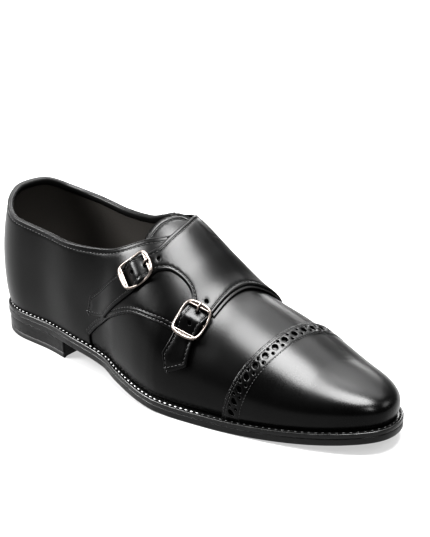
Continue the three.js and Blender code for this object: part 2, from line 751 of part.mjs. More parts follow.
// frame with its middle bar as one solid
function buckle() {
  const half = BUCKLE_WIDE / 2 - BAR;
  const middle = bar([v(0, -half, MIDDLE_BAR_Z + 0.35), v(0, -half + 3, MIDDLE_BAR_Z), v(0, half - 3, MIDDLE_BAR_Z),
    v(0, half, MIDDLE_BAR_Z + 0.35)], 1.7, 1.7);
  return geometryOf(solidOf(frameGeometry()).add(solidOf(middle)));
}

// prong: from beside the middle bar up through its hole and over the bar on the instep side
function prong() {
  const end = BUCKLE_LONG / 2;
  return bar([v(-2.1, 0, 1.7), v(-2.75, 0, 3.1), v(-3.6, 0, 4.8), v(-5.6, 0, 5.75), v(-end + 1, 0, 5.75), v(-end - 0.5, 0, 5.6)], 1.2, 1.0);
}

// punched hole as a cutter, in the buckle's axes
function holeCutter(x) {
  const cutter = new THREE.CylinderGeometry(HOLE_R, HOLE_R, 14, 10);
  cutter.rotateX(Math.PI / 2);
  cutter.translate(x, 0, 4);
  return cutter;
}

// ---------------------------------------------------------------- the shoe

const LEATHER = { color: 0x121212, roughness: 0.34, metalness: 0 };
const EDGE_BLACK = { color: 0x0b0b0b, roughness: 0.45, metalness: 0 };
const RUBBER = { color: 0x141414, roughness: 0.7, metalness: 0 };
const NICKEL = { color: 0xd9d2ca, roughness: 0.16, metalness: 1 };
const BOARD = { color: 0x6b4a30, roughness: 0.8, metalness: 0 };

const shoe = new THREE.Group();

function add(name, geometry, look, matrix) {
  const mesh = new THREE.Mesh(geometry, new THREE.MeshStandardMaterial(look));
  mesh.name = name;
  if (matrix) {
    matrix.decompose(mesh.position, mesh.quaternion, mesh.scale);
  }
  shoe.add(mesh);
  return mesh;
}

add('outsole', soleSlab(0, 0, OUTSOLE, 4), EDGE_BLACK);
add('welt', soleRing(0, 9, OUTSOLE + GAP, OUTSOLE + GAP + WELT), EDGE_BLACK);
add('insole', soleSlab(9.6, OUTSOLE + GAP, OUTSOLE + GAP + 4, 3), BOARD);
add('heel_stack', heelPiece(TOP_PIECE + GAP, HEEL_UNDER - GAP, 0.9, 0.5), EDGE_BLACK);
add('heel_top_piece', heelPiece(0, TOP_PIECE, 1.1, 0.9), RUBBER);
add('upper', upper(), LEATHER);
add('tongue', tongue(), LEATHER);
add('toe_cap', toeCap(), LEATHER);

let straps = solidOf(strapPanel());
for (const place of [frontPlace, rearPlace]) {
  for (const x of [-2.9, 2.2, -14.5]) straps = straps.subtract(solidOf(holeCutter(x), place));
}
add('monk_straps', geometryOf(straps), LEATHER);
add('front_buckle', buckle(), NICKEL, frontPlace);
add('rear_buckle', buckle(), NICKEL, rearPlace);
add('front_prong', prong(), NICKEL, frontPlace);
add('rear_prong', prong(), NICKEL, rearPlace);

// stand the shoe with the middle of its box over the origin
shoe.updateMatrixWorld(true);
const box = new THREE.Box3().setFromObject(shoe);
shoe.position.set(-(box.min.x + box.max.x) / 2, -(box.min.y + box.max.y) / 2, -box.min.z);

const group = new THREE.Group();
group.add(shoe);
export default group;
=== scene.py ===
"""Looks of a man's double monk strap shoe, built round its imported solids.

Every visible skin is laid on one last surface. A place on the last is (run, girth): run goes from the
heel back to the toe tip, equal to X along the straight part, and girth is measured over the last from
the ridge of the instep, medial side positive. Sizes here are millimetres on the last; piece() turns
them into metres in the row's frame.
"""

import math

import bmesh
import bpy
import numpy as np
from mathutils import Matrix, Vector
from mathutils.geometry import delaunay_2d_cdt


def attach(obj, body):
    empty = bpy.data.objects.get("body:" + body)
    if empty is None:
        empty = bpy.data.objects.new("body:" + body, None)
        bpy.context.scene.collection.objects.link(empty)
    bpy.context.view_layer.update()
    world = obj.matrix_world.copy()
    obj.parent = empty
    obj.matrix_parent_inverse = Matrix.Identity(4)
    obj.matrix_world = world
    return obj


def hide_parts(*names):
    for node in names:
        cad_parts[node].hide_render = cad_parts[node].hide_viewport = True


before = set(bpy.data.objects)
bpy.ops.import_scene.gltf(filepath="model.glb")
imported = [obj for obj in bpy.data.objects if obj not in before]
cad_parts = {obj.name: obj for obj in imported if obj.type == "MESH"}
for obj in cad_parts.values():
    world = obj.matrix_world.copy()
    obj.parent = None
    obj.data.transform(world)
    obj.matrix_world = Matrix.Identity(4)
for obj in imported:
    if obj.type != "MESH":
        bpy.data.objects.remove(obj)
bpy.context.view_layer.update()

# ------------------------------------------------------------------ sizes of the shoe (mm)

ORIGIN = np.array([151.265, 1.486, 0.0])   # the row's origin, seen from the last
LENGTH = 303.0
TIP_Y = 8.5
HEEL_AXIS_X = 38.0
TOE_AXIS_X = 258.0
HEEL_HALF = 34.5
HEEL_POWER = 2.2
FAN_START_X = 222.0                           # where the toe's turn is counted from
FAN_SOFTNESS = 5.5                            # run over which stations are averaged where the fan starts
FAN_BLEND = 14.0                              # how far along that averaging fades out
# the averaged stations and their weights, a bell that sums to 1
FAN_WEIGHTS = ((-2, 0.0545), (-1, 0.2442), (0, 0.4026), (1, 0.2442), (2, 0.0545))
SIDE_PART = 0.3                               # share of a section from the feather edge to its widest point
TOE_FAN_RADIUS = 55.0                         # run gained per radian of turn round the toe
BALL = {-1: (172.0, -49.2, 1.22), 1: (222.0, 52.0, 2.35)}   # x, y, roundness of the forefoot

OUTSOLE = 4.2
WELT = 2.6
GAP = 0.3
FEATHER = OUTSOLE + GAP + WELT + GAP
WALL = 2.2
HEEL_UNDER = 10.9
TOE_SPRING = 7.8
TOP_PIECE = 3.4
BREAST_X = 76.0
BREAST_HOLLOW = 4.0
TOE_SLOPE = -0.40

EDGE = {
    -1: [(38, -34.5), (60, -34.5), (85, -37.2), (115, -37.9), (132, -42.7), (152, -47.2),
         (166, -49.0), (172, -49.2)],
    1: [(38, 34.5), (60, 33), (85, 29.6), (110, 28), (135, 29.5), (160, 35), (185, 43.5), (200, 47.9),
        (212, 51.2), (219, 51.95), (222, 52)],
}
UNDERSIDE = [(-5, HEEL_UNDER), (75, HEEL_UNDER), (95, 9.6), (115, 7.1), (135, 4.4), (155, 2.0),
             (175, 0.5), (188, 0), (216, 0), (235, 0.55), (255, 1.9), (275, 3.9), (303, TOE_SPRING)]
# x, height, y of the ridge
RIDGE = [(38, 133, 0), (70, 130, 1), (100, 118, 2.5), (128, 106, 3.5), (150, 96, 4.1), (170, 81.5, 4.5),
         (190, 66.4, 5), (210, 58.2, 5.4), (230, 50.4, 6), (258, 39.1, 6.8)]
# x, feather inset, swell, height of the widest point, lower pull, upper pull
SHAPE = [(0, 3.0, 3.5, 30, 0.50, 0.45), (60, 3.0, 2.5, 28, 0.66, 0.50), (110, 3.2, 3.0, 20, 0.62, 0.50),
         (150, 3.8, 3.2, 16, 0.63, 0.49), (200, 4.8, 2.8, 10, 0.63, 0.49), (230, 5.0, 2.8, 9, 0.62, 0.48),
         (258, 5.4, 2.4, 8, 0.57, 0.46), (303, 5.7, 2.1, 7, 0.57, 0.45)]
# x of the last's widest point at a station, height of the topline there
TOPLINE = {
    -1: [(-1, 90.3), (1.5, 89.7), (5, 87.6), (13, 83.2), (26, 79.6), (45, 78), (64, 77), (83, 76.7),
         (105, 78.2), (120, 80.9), (130, 85), (140, 89.5), (150, 92), (160, 95)],
    1: [(-1, 90.3), (1.5, 89.7), (5, 87.6), (13, 83.2), (26, 79.6), (45, 78), (64, 77.4), (91, 80.6),
        (102, 84), (112, 88), (125, 92.5), (138, 93.5), (150, 93.2), (160, 95)],
}

# edges of the strap panel on the last: run, girth
PANEL_FRONT = [(193.8, -27.5), (193.4, -22.6), (192.2, -14), (191, -4), (191, 5), (192.6, 15),
               (193.8, 25), (193.6, 36), (192.6, 40.5)]
MEDIAL_SEAM = [(192.6, 40.5), (188, 41.8), (178, 43.5), (165, 50.5), (151, 60.5), (138, 71), (126, 82),
               (115, 94), (106, 107)]
PANEL_REAR = [(146.4, -34.3), (149.6, -28), (150.5, -21), (150.3, -9), (148.4, 0), (142.4, 10), (132, 19),
              (121, 27), (112, 33.5), (103, 40)]
NOTCH = [(180.7, -30.2), (176.3, -27.9), (169.6, -28.2), (162.8, -31), (157.6, -36.5)]
FRONT_STRAP_TOE_SIDE = [(193.8, -27.5), (193.6, -38), (193.7, -48), (195.0, -59.5), (182.4, -73.6)]
FRONT_STRAP_HEEL_SIDE = [(180.7, -30.2), (180.2, -42), (180.8, -53.6), (178.3, -65.9), (182.4, -73.6)]
REAR_STRAP_TOE_SIDE = [(157.6, -36.5), (151.8, -49.0), (144.7, -60.9), (122.5, -86.2), (104.8, -94.4)]
REAR_STRAP_HEEL_SIDE = [(146.4, -34.3), (138.0, -45.0), (131.6, -54.6), (107.1, -81.6), (104.8, -94.4)]
FRONT_BUCKLE = ((187.0, -28.4), (187.4, -48.4))
REAR_BUCKLE = ((152.0, -35.6), (139.3, -56.0))
LATERAL_SEAM = [(188.5, -40), (187.5, -45), (184, -49.5), (177.8, -52.8), (166.5, -59), (151.2, -67.6),
                (139.1, -75.6), (125.7, -85.4), (112.9, -97.9), (104, -109.5)]
TONGUE_EDGE = [(-37, 142), (-33, 137.8), (-25, 136), (-13, 136.2), (-3, 138.4), (6, 142), (14, 147.5),
               (22, 156), (26, 164)]
# girth, run of the cap's rear edge
CAP_EDGE = [(-84, 215), (-72, 218.4), (-58, 221.9), (-49, 223.9), (-39, 225.8), (-30, 227.2),
            (-18, 228.3), (-7, 228.2), (5, 227.6), (15, 227.0), (36, 226.0), (56, 223.5), (84, 218)]
CAP_JOINT = 250.0            # where the punched band's sheet meets the plain toe
BAND_WIDE = 9.4
PUNCH_PITCH = 7.9
BIG_PUNCH = 1.62
SMALL_PUNCH = 0.72
PUNCH_START = -64.3          # girth of the first big punch
PUNCH_COUNT = 18
BIG_PUNCH_BACK = 5.0         # from the band's rear edge
SMALL_PUNCHES = ((3.35, -0.3), (7.05, 0.0))   # from the rear edge, and along from halfway
WELT_GROOVE = 1.9            # in from the welt's edge
WELT_STITCH_PITCH = 3.8
STRAP_ROW = 1.9              # stitch rows, in from the edge they follow
PANEL_FRONT_ROW = 2.1
PANEL_REAR_ROW = 2.2
MEDIAL_ROWS = (1.5, 3.4)
LATERAL_ROWS = (-1.3, -3.2)
COLLAR_ROW = 2.6
STITCH_HALF = 0.95           # half the length of a single stitch on the welt and the back strip
GREY_THREAD_END = 205.0      # run where the welt's thread turns from grey to black
BAR_TACK = [(193.4, 28.0), (187, 28.1), (184.2, 29.2), (183.2, 31.6), (184.2, 34.0), (187, 35.1),
            (193.4, 35.2)]
# outer faces over the last
QUARTER_TOP = 1.15
STRAP_TOP = 2.5
CAP_TOP = 1.65
TONGUE_TOP = -3.0

BUCKLE_LONG = 21.8
BUCKLE_WIDE = 18.4
END_BAR_Z = 3.75
MIDDLE_BAR_Z = 1.55
CREST = 2.3
HOLE_R = 1.15
STRAP_HOLES = (-13.7, -5.8, 2.1)   # along the strap from the middle of each buckle
BAR_SPACING = 20.0                 # between the two places that set a buckle

# ------------------------------------------------------------------ curves


def curve(rows, x, column=1):
    """Smooth curve through rows of numbers, read at x."""
    table = np.asarray(rows, float)
    xs, ys = table[:, 0], table[:, column]
    slope = np.empty_like(ys)
    slope[1:-1] = (ys[2:] - ys[:-2]) / (xs[2:] - xs[:-2])
    slope[0] = (ys[1] - ys[0]) / (xs[1] - xs[0])
    slope[-1] = (ys[-1] - ys[-2]) / (xs[-1] - xs[-2])
    at = np.clip(x, xs[0], xs[-1])
    i = np.clip(np.searchsorted(xs, at, side="right") - 1, 0, len(xs) - 2)
    step = xs[i + 1] - xs[i]
    t = (at - xs[i]) / step
    t2, t3 = t * t, t * t * t
    return ((2 * t3 - 3 * t2 + 1) * ys[i] + (t3 - 2 * t2 + t) * step * slope[i]
            + (3 * t2 - 2 * t3) * ys[i + 1] + (t3 - t2) * step * slope[i + 1])


def bezier(a, b, c, d, t):
    u = 1 - t
    return u * u * u * a + 3 * u * u * t * b + 3 * u * t * t * c + t * t * t * d


def smooth_line(points, spacing=1.0):
    """A line of (run, girth) points drawn smoothly, with even spacing."""
    points = np.asarray(points, float)
    n = len(points)
    knots = np.arange(n)
    fine = np.linspace(0, n - 1, (n - 1) * 24 + 1)
    line = np.stack([curve(np.c_[knots, points[:, k]], fine) for k in (0, 1)], 1)
    return resample(line, spacing)


def resample(line, spacing, closed=False):
    line = np.asarray(line, float)
    if closed:
        line = np.vstack([line, line[:1]])
    far = length_along(line)
    count = max(2, int(round(far[-1] / spacing)) + 1)
    at = np.linspace(0, far[-1], count)
    even = np.stack([np.interp(at, far, line[:, k]) for k in range(line.shape[1])], 1)
    return even[:-1] if closed else even


def length_along(line):
    return np.r_[0, np.cumsum(np.linalg.norm(np.diff(line, axis=0), axis=1))]


def place_on(line, along, d):
    """The point of a line at a distance from its start."""
    return np.array([np.interp(d, along, line[:, k]) for k in range(line.shape[1])])


def offset_line(line, distance, closed=False):
    """The line moved sideways, to the left of its direction when distance is positive."""
    line = np.asarray(line, float)
    if closed:
        ahead = np.roll(line, -1, 0) - line
        behind = line - np.roll(line, 1, 0)
    else:
        ahead = np.vstack([np.diff(line, axis=0), line[-1:] - line[-2:-1]])
        behind = np.vstack([line[1:2] - line[:1], np.diff(line, axis=0)])
    ahead /= np.linalg.norm(ahead, axis=1, keepdims=True) + 1e-9
    behind /= np.linalg.norm(behind, axis=1, keepdims=True) + 1e-9
    normal = np.c_[-(ahead + behind)[:, 1], (ahead + behind)[:, 0]]
    size = np.linalg.norm(normal, axis=1, keepdims=True)
    normal /= size + 1e-9
    mitre = np.clip((normal * np.c_[-ahead[:, 1], ahead[:, 0]]).sum(1), 0.45, 1)
    return line + normal * (distance / mitre)[:, None]


# ------------------------------------------------------------------ the last


def x_of_run(run):
    """Position along the shoe of the sole's edge at a run."""
    run = np.asarray(run, float)
    heel_turn = np.clip(math.pi / 2 - (HEEL_AXIS_X - run) / HEEL_AXIS_X, 0, math.pi / 2)
    heel = HEEL_AXIS_X - HEEL_AXIS_X * np.cos(heel_turn) ** (2 / HEEL_POWER)
    start = math.asin((TOE_AXIS_X - FAN_START_X) / (LENGTH - FAN_START_X))
    toe_turn = np.clip(start + (run - TOE_AXIS_X) / TOE_FAN_RADIUS, 0, math.pi / 2)
    toe = FAN_START_X + (LENGTH - FAN_START_X) * np.sin(toe_turn)
    return np.where(run < HEEL_AXIS_X, heel, np.where(run > TOE_AXIS_X, toe, run))


RUN_FIRST = HEEL_AXIS_X - HEEL_AXIS_X * math.pi / 2
RUN_LAST = TOE_AXIS_X + TOE_FAN_RADIUS * (
    math.pi / 2 - math.asin((TOE_AXIS_X - FAN_START_X) / (LENGTH - FAN_START_X)))


def edge_y(side, x):
    """Y of the sole's edge at x, for one side or for an array of sides."""
    out = []
    for s in (-1, 1):
        ball_x, ball_y, power = BALL[s]
        behind = np.clip((HEEL_AXIS_X - x) / HEEL_AXIS_X, 0, 1)
        heel = s * HEEL_HALF * (1 - behind ** HEEL_POWER) ** (1 / HEEL_POWER)
        part = np.clip((x - ball_x) / (LENGTH - ball_x), 0, 1)
        toe = TIP_Y + (ball_y - TIP_Y) * np.sqrt(1 - part ** power)
        out.append(np.where(x < HEEL_AXIS_X, heel, np.where(x > ball_x, toe, curve(EDGE[s], x))))
    return np.where(np.asarray(side) < 0, out[0], out[1])


def outward(side, run):
    """Direction out of the sole's edge."""
    a = np.clip(run - 0.4, RUN_FIRST, RUN_LAST)
    b = np.clip(run + 0.4, RUN_FIRST, RUN_LAST)
    xa, xb = x_of_run(a), x_of_run(b)
    dx, dy = xb - xa, edge_y(side, xb) - edge_y(side, xa)
    size = np.hypot(dx, dy) + 1e-12
    s = np.where(np.asarray(side) < 0, 1.0, -1.0)
    return s * dy / size, -s * dx / size


def underside(x):
    return np.maximum(0, curve(UNDERSIDE, x))


def section(side, run):
    """Sections of the last at some runs."""
    x = x_of_run(run)
    y = edge_y(side, x)
    base_x = np.clip(x, HEEL_AXIS_X, TOE_AXIS_X)
    base_y = curve(RIDGE, base_x, 2)
    reach = np.hypot(x - base_x, y - base_y)
    dir_x, dir_y = (x - base_x) / reach, (y - base_y) / reach
    out_x, out_y = outward(side, run)
    lean = np.clip(dir_x * out_x + dir_y * out_y, 0.6, 1)
    feather = reach - curve(SHAPE, x, 1) / lean
    low = underside(x) + FEATHER
    return {
        "base_x": base_x, "base_y": base_y, "dir_x": dir_x, "dir_y": dir_y, "feather": feather,
        "wide": feather + curve(SHAPE, x, 2) / lean, "low": low, "mid": low + curve(SHAPE, x, 3),
        "top": curve(RIDGE, base_x, 1), "low_pull": curve(SHAPE, x, 4), "top_pull": curve(SHAPE, x, 5),
        "slope": np.where(x > TOE_AXIS_X, TOE_SLOPE * dir_x, 0.0),
    }


def section_point(sec, s):
    """Points of sections: s is 0 at the feather edge and 1 on the ridge."""
    t1 = np.clip(s / SIDE_PART, 0, 1)
    rise1 = sec["mid"] - sec["low"]
    swell = sec["feather"] + 0.55 * (sec["wide"] - sec["feather"])
    reach1 = bezier(sec["feather"], swell, sec["wide"], sec["wide"], t1)
    z1 = bezier(sec["low"], sec["low"] + 0.12 * rise1, sec["mid"] - 0.5 * rise1, sec["mid"], t1)
    t2 = np.clip((s - SIDE_PART) / (1 - SIDE_PART), 0, 1)
    rise2 = sec["top"] - sec["mid"]
    reach2 = bezier(sec["wide"], sec["wide"], sec["top_pull"] * sec["wide"], 0.0, t2)
    handle = sec["top"] + sec["top_pull"] * sec["wide"] * sec["slope"]
    z2 = bezier(sec["mid"], sec["mid"] + sec["low_pull"] * rise2, handle, sec["top"], t2)
    reach = np.where(s < SIDE_PART, reach1, reach2)
    z = np.where(s < SIDE_PART, z1, z2)
    return np.stack([sec["base_x"] + sec["dir_x"] * reach, sec["base_y"] + sec["dir_y"] * reach, z], -1)


class Last:
    """Girth tables of the last, for turning (run, girth) into points."""

    STATIONS = 700
    STEP = 0.5
    LONGEST = 190.0
    PROBE = 0.5              # how far to either side of a place its slope is measured
    RIDGE_CLEAR = 0.9        # on the toe, slopes are measured at least this far from the ridge
    RIDGE_CLEAR_FROM = 248
    POLE_BLEND = 3           # girth over which the toe's sections turn to one shared normal

    def __init__(self):
        self.runs = np.linspace(RUN_FIRST, RUN_LAST, self.STATIONS)
        self.part = {}
        self.whole = {}
        girths = np.arange(0, self.LONGEST, self.STEP)
        fine = np.linspace(1, 0, 260)
        for side in (-1, 1):
            sec = {k: v[:, None] for k, v in section(side, self.runs).items()}
            points = section_point(sec, fine[None, :])
            steps = np.linalg.norm(np.diff(points, axis=1), axis=2)
            far = np.concatenate([np.zeros((len(self.runs), 1)), np.cumsum(steps, 1)], 1)
            self.part[side] = np.stack([np.interp(girths, f, fine) for f in far])
            self.whole[side] = far[:, -1]
        slope = (TOE_SLOPE - 0.4) / 2
        self.pole_normal = np.array([-slope, 0.0, 1.0]) / math.hypot(slope, 1)

    def length(self, side, run):
        """Girth from the ridge to the feather edge."""
        return np.interp(run, self.runs, self.whole[side])

    def s_at(self, side, run, girth):
        at = np.clip((run - self.runs[0]) / (self.runs[1] - self.runs[0]), 0, self.STATIONS - 1.001)
        i = at.astype(int)
        f = at - i
        g = np.clip(girth / self.STEP, 0, self.part[1].shape[1] - 1.001)
        j = g.astype(int)
        h = g - j
        table = np.where((np.asarray(side) < 0)[..., None], 0, 1)[..., 0]
        both = np.stack([self.part[-1], self.part[1]])
        low = both[table, i, j] * (1 - h) + both[table, i, j + 1] * h
        high = both[table, i + 1, j] * (1 - h) + both[table, i + 1, j + 1] * h
        return low * (1 - f) + high * f

    def point(self, run, girth):
        run, girth = np.broadcast_arrays(np.asarray(run, float), np.asarray(girth, float))
        side = np.where(girth < 0, -1, 1)
        s = self.s_at(side, run, np.abs(girth))
        # stations are averaged where the straight part passes into the toe's fan
        soft = FAN_SOFTNESS * np.exp(-((run - TOE_AXIS_X) / FAN_BLEND) ** 2)
        total = np.zeros(run.shape + (3,))
        for step, weight in FAN_WEIGHTS:
            total += weight * section_point(section(side, np.minimum(run + step * soft, RUN_LAST)), s)
        return total

    def normal(self, run, girth):
        run, girth = np.broadcast_arrays(np.asarray(run, float), np.asarray(girth, float))
        side = np.where(girth < 0, -1.0, 1.0)
        on_ridge = (run > self.RIDGE_CLEAR_FROM) & (np.abs(girth) < self.RIDGE_CLEAR)
        at = np.where(on_ridge, side * self.RIDGE_CLEAR, girth)
        d = self.PROBE
        ahead = self.point(np.minimum(run + d, RUN_LAST), at) - self.point(np.maximum(run - d, RUN_FIRST), at)
        longest = np.where(side < 0, self.length(-1, run), self.length(1, run))
        up = np.where(side > 0, np.minimum(at + d, longest), at + d)
        down = np.where(side < 0, np.maximum(at - d, -longest), at - d)
        across = self.point(run, up) - self.point(run, down)
        n = np.cross(ahead, across)
        n /= np.linalg.norm(n, axis=-1, keepdims=True) + 1e-12
        # every station of the toe meets at one point of the ridge, so they share its normal there
        share = np.where(run > TOE_AXIS_X, np.clip(1 - np.abs(girth) / self.POLE_BLEND, 0, 1), 0)[..., None]
        n = n * (1 - share) + self.pole_normal * share
        # the halves meet in the plane of the heel's and the toe's centre line
        n[..., 1] = np.where((run <= RUN_FIRST + 1e-6) | (run >= RUN_LAST - 1e-6), 0.0, n[..., 1])
        return n / (np.linalg.norm(n, axis=-1, keepdims=True) + 1e-12)

    def lifted(self, run, girth, height):
        n = self.normal(run, girth)
        return self.point(run, girth) + n * np.asarray(height, float)[..., None]

    def girth_at_height(self, side, run, z):
        """Girth where the last reaches height z, or 0 where its ridge is lower."""
        out = []
        fine = np.linspace(SIDE_PART, 1, 400)
        for r, level in zip(np.atleast_1d(run), np.atleast_1d(z)):
            sec = section(side, np.array([r]))
            points = section_point(sec, fine[:, None])[:, 0]
            if level >= sec["top"][0] - 0.02:
                out.append(0.0)
                continue
            steps = np.linalg.norm(np.diff(points, axis=0), axis=1)
            from_top = np.r_[np.cumsum(steps[::-1])[::-1], 0]
            out.append(float(np.interp(level, points[:, 2], from_top)))
        return np.array(out)


last = Last()


def topline_girth(side, run):
    sec = section(side, np.asarray(run, float))
    edge_x = sec["base_x"] + sec["dir_x"] * sec["wide"]
    return last.girth_at_height(side, run, curve(TOPLINE[side], edge_x))


# ------------------------------------------------------------------ small folds and dents of the leather

# run, girth, direction in degrees from the run, half length, half width, height
FOLDS = [
    (118, -62, 8, 30, 9, -0.22), (96, -92, -14, 26, 10, -0.20), (60, -88, 4, 28, 11, 0.16),
    (150, -70, -30, 20, 9, -0.14), (203, -30, 80, 24, 8, -0.12), (212, -44, 76, 20, 9, 0.10),
    (206, 24, 95, 24, 9, -0.12), (110, 72, -6, 28, 10, -0.18), (78, 88, 10, 26, 11, -0.16),
    (158, 40, 30, 20, 9, 0.12), (20, -80, 70, 18, 10, -0.12), (24, 84, 110, 18, 10, -0.12),
]


def folds(run, girth):
    height = np.zeros(np.broadcast(run, girth).shape)
    for r, g, turn, long_half, wide_half, size in FOLDS:
        c, s = math.cos(math.radians(turn)), math.sin(math.radians(turn))
        along = (run - r) * c + (girth - g) * s
        aside = -(run - r) * s + (girth - g) * c
        height = height + size * np.exp(-(along / long_half) ** 2 - (aside / wide_half) ** 2)
    return height


# ------------------------------------------------------------------ meshes


def add_object(name, data):
    obj = bpy.data.objects.new(name, data)
    bpy.context.scene.collection.objects.link(obj)
    return obj


def piece(name, points, faces, finish, stands_for=(), weld=False):
    """A mesh object from millimetre points on the last, riding on the shoe."""
    mesh = bpy.data.meshes.new(name)
    metres = (np.asarray(points, float) - ORIGIN) * 0.001
    mesh.from_pydata(metres.tolist(), [], [tuple(int(i) for i in f) for f in faces])
    work = bmesh.new()
    work.from_mesh(mesh)
    if weld:
        bmesh.ops.remove_doubles(work, verts=work.verts, dist=2e-6)
    bmesh.ops.dissolve_degenerate(work, edges=work.edges, dist=1e-7)
    loose = [v for v in work.verts if not v.link_faces]
    bmesh.ops.delete(work, geom=loose, context="VERTS")
    bmesh.ops.recalc_face_normals(work, faces=work.faces)
    work.to_mesh(mesh)
    work.free()
    mesh.polygons.foreach_set("use_smooth", [True] * len(mesh.polygons))
    obj = add_object(name, mesh)
    mesh.materials.append(finish)
    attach(obj, "root")
    if stands_for:
        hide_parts(*stands_for)
    return obj


def grid_faces(rows, columns, start=0, flip=False, round_rows=False, round_columns=False):
    faces = []
    for i in range(rows if round_rows else rows - 1):
        for j in range(columns if round_columns else columns - 1):
            i2, j2 = (i + 1) % rows, (j + 1) % columns
            row, row2 = start + i * columns, start + i2 * columns
            quad = (row + j, row2 + j, row2 + j2, row + j2)
            faces.append(quad[::-1] if flip else quad)
    return faces


def closed_tube_faces(rings, sides):
    """Faces of a tube of rings with both its ends closed."""
    return grid_faces(rings, sides, round_columns=True) + [
        tuple(range(sides)), tuple((rings - 1) * sides + i for i in reversed(range(sides)))]


class Parts:
    """Gathers points and faces of several patches into one mesh."""

    def __init__(self):
        self.points = []
        self.faces = []
        self.count = 0

    def add(self, points, faces):
        points = np.asarray(points, float).reshape(-1, 3)
        self.points.append(points)
        self.faces += [tuple(i + self.count for i in f) for f in faces]
        self.count += len(points)

    def grid(self, rows, flip=False, round_rows=False, round_columns=False):
        rows = np.asarray(rows, float)
        self.add(rows, grid_faces(rows.shape[0], rows.shape[1], 0, flip, round_rows, round_columns))

    def skins(self, outer, inner):
        """Two facing skins, with walls along their first and last columns."""
        self.grid(outer)
        self.grid(inner, flip=True)
        self.grid(np.stack([outer[:, 0], inner[:, 0]]))
        self.grid(np.stack([outer[:, -1], inner[:, -1]]), flip=True)

    def sweep(self, rings):
        """The first patch of a mesh: rings joined into a solid with a flat face at each end."""
        n = len(rings[0])
        self.grid(rings, round_columns=True)
        self.faces += [tuple(range(n)), tuple((len(rings) - 1) * n + i for i in range(n))]

    def piece(self, name, finish, slot, stands_for=(), weld=False):
        return piece(name, np.vstack(self.points), self.faces, finish, stands_for, weld)


def inside(points, outline):
    """Which points lie inside a closed outline."""
    x, y = points[:, 0][:, None], points[:, 1][:, None]
    a, b = outline, np.roll(outline, -1, 0)
    crosses = (a[:, 1] > y) != (b[:, 1] > y)
    with np.errstate(divide="ignore", invalid="ignore"):
        at = a[:, 0] + (y - a[:, 1]) / (b[:, 1] - a[:, 1]) * (b[:, 0] - a[:, 0])
    return (np.sum(crosses & (x < at), axis=1) % 2) == 1


def distance_to(points, line, closed=False):
    """Distance of each point to a line of points."""
    a = line if closed else line[:-1]
    b = np.roll(line, -1, 0) if closed else line[1:]
    ab = b - a
    out = np.empty(len(points))
    for i in range(0, len(points), 4000):
        p = points[i:i + 4000, None, :]
        t = np.clip(((p - a) * ab).sum(2) / ((ab * ab).sum(1) + 1e-12), 0, 1)
        out[i:i + 4000] = np.linalg.norm(p - (a + ab * t[..., None]), axis=2).min(1)
    return out


def circle(centre, radius, count):
    turns = np.linspace(0, 2 * math.pi, count, endpoint=False)
    return np.c_[centre[0] + radius * np.cos(turns), centre[1] + radius * np.sin(turns)]


def thinned(points, least):
    """The points without those that lie nearer than least to an earlier one."""
    taken, kept = {}, []
    for k, (x, y) in enumerate(points):
        i, j = int(x // least), int(y // least)
        near = [taken[c] for c in ((i + a, j + b) for a in (-1, 0, 1) for b in (-1, 0, 1)) if c in taken]
        if all((x - points[n][0]) ** 2 + (y - points[n][1]) ** 2 > least * least for n in near):
            taken[i, j] = k
            kept.append(k)
    return points[kept]


EDGE_RINGS = (0.12, 0.35, 0.7, 1.1)           # rows of points in from the outline, in widths of the edge
HOLE_RINGS = (0.16, 0.42)                     # rows of points out from a hole
CHANNEL_ROWS = (-0.8, -0.35, 0, 0.35, 0.8)    # rows of points across a stitch channel


def inner_points(outline, holes, channels, spacing, edge):
    """Points inside a cut piece: rings along edges and holes, rows along channels, a lattice between."""
    rings = [offset_line(outline, d * edge, closed=True) for d in EDGE_RINGS]
    rings += [circle(c, r + grow, n) for c, r, n in holes for grow in HOLE_RINGS]
    for line in channels:
        even = resample(line, 0.8)
        rings += [offset_line(even, d) for d in CHANNEL_ROWS]
    low, high = outline.min(0), outline.max(0)
    lattice = []
    for k, g in enumerate(np.arange(low[1], high[1], spacing * 0.87)):
        run = np.arange(low[0] + (spacing / 2 if k % 2 else 0), high[0], spacing)
        lattice.append(np.c_[run, np.full_like(run, g)])
    lattice = np.vstack(lattice)
    lattice = lattice[inside(lattice, outline)]
    lattice = lattice[distance_to(lattice, outline, True) > edge * 1.1 + spacing * 0.35]
    for line in channels:
        lattice = lattice[distance_to(lattice, line) > CHANNEL_ROWS[-1] + spacing * 0.3]
    rings = np.vstack(rings)
    rings = rings[inside(rings, outline)]
    rings = rings[distance_to(rings, outline, True) > 0.05]
    for c, r, n in holes:
        rings = rings[np.hypot(*(rings - c).T) > r + 0.1]
        lattice = lattice[np.hypot(*(lattice - c).T) > r + HOLE_RINGS[-1] + spacing * 0.25]
    free = np.vstack([rings, lattice])
    return thinned(free, 0.2)


def short_sided(outline, longest):
    """The outline with points added, so that no side is a long chord under the curve of the last."""
    points = []
    for a, b in zip(outline, np.roll(outline, -1, 0)):
        parts = max(1, math.ceil(math.hypot(*(b - a)) / longest))
        points += [a + (b - a) * k / parts for k in range(parts)]
    return np.array(points)


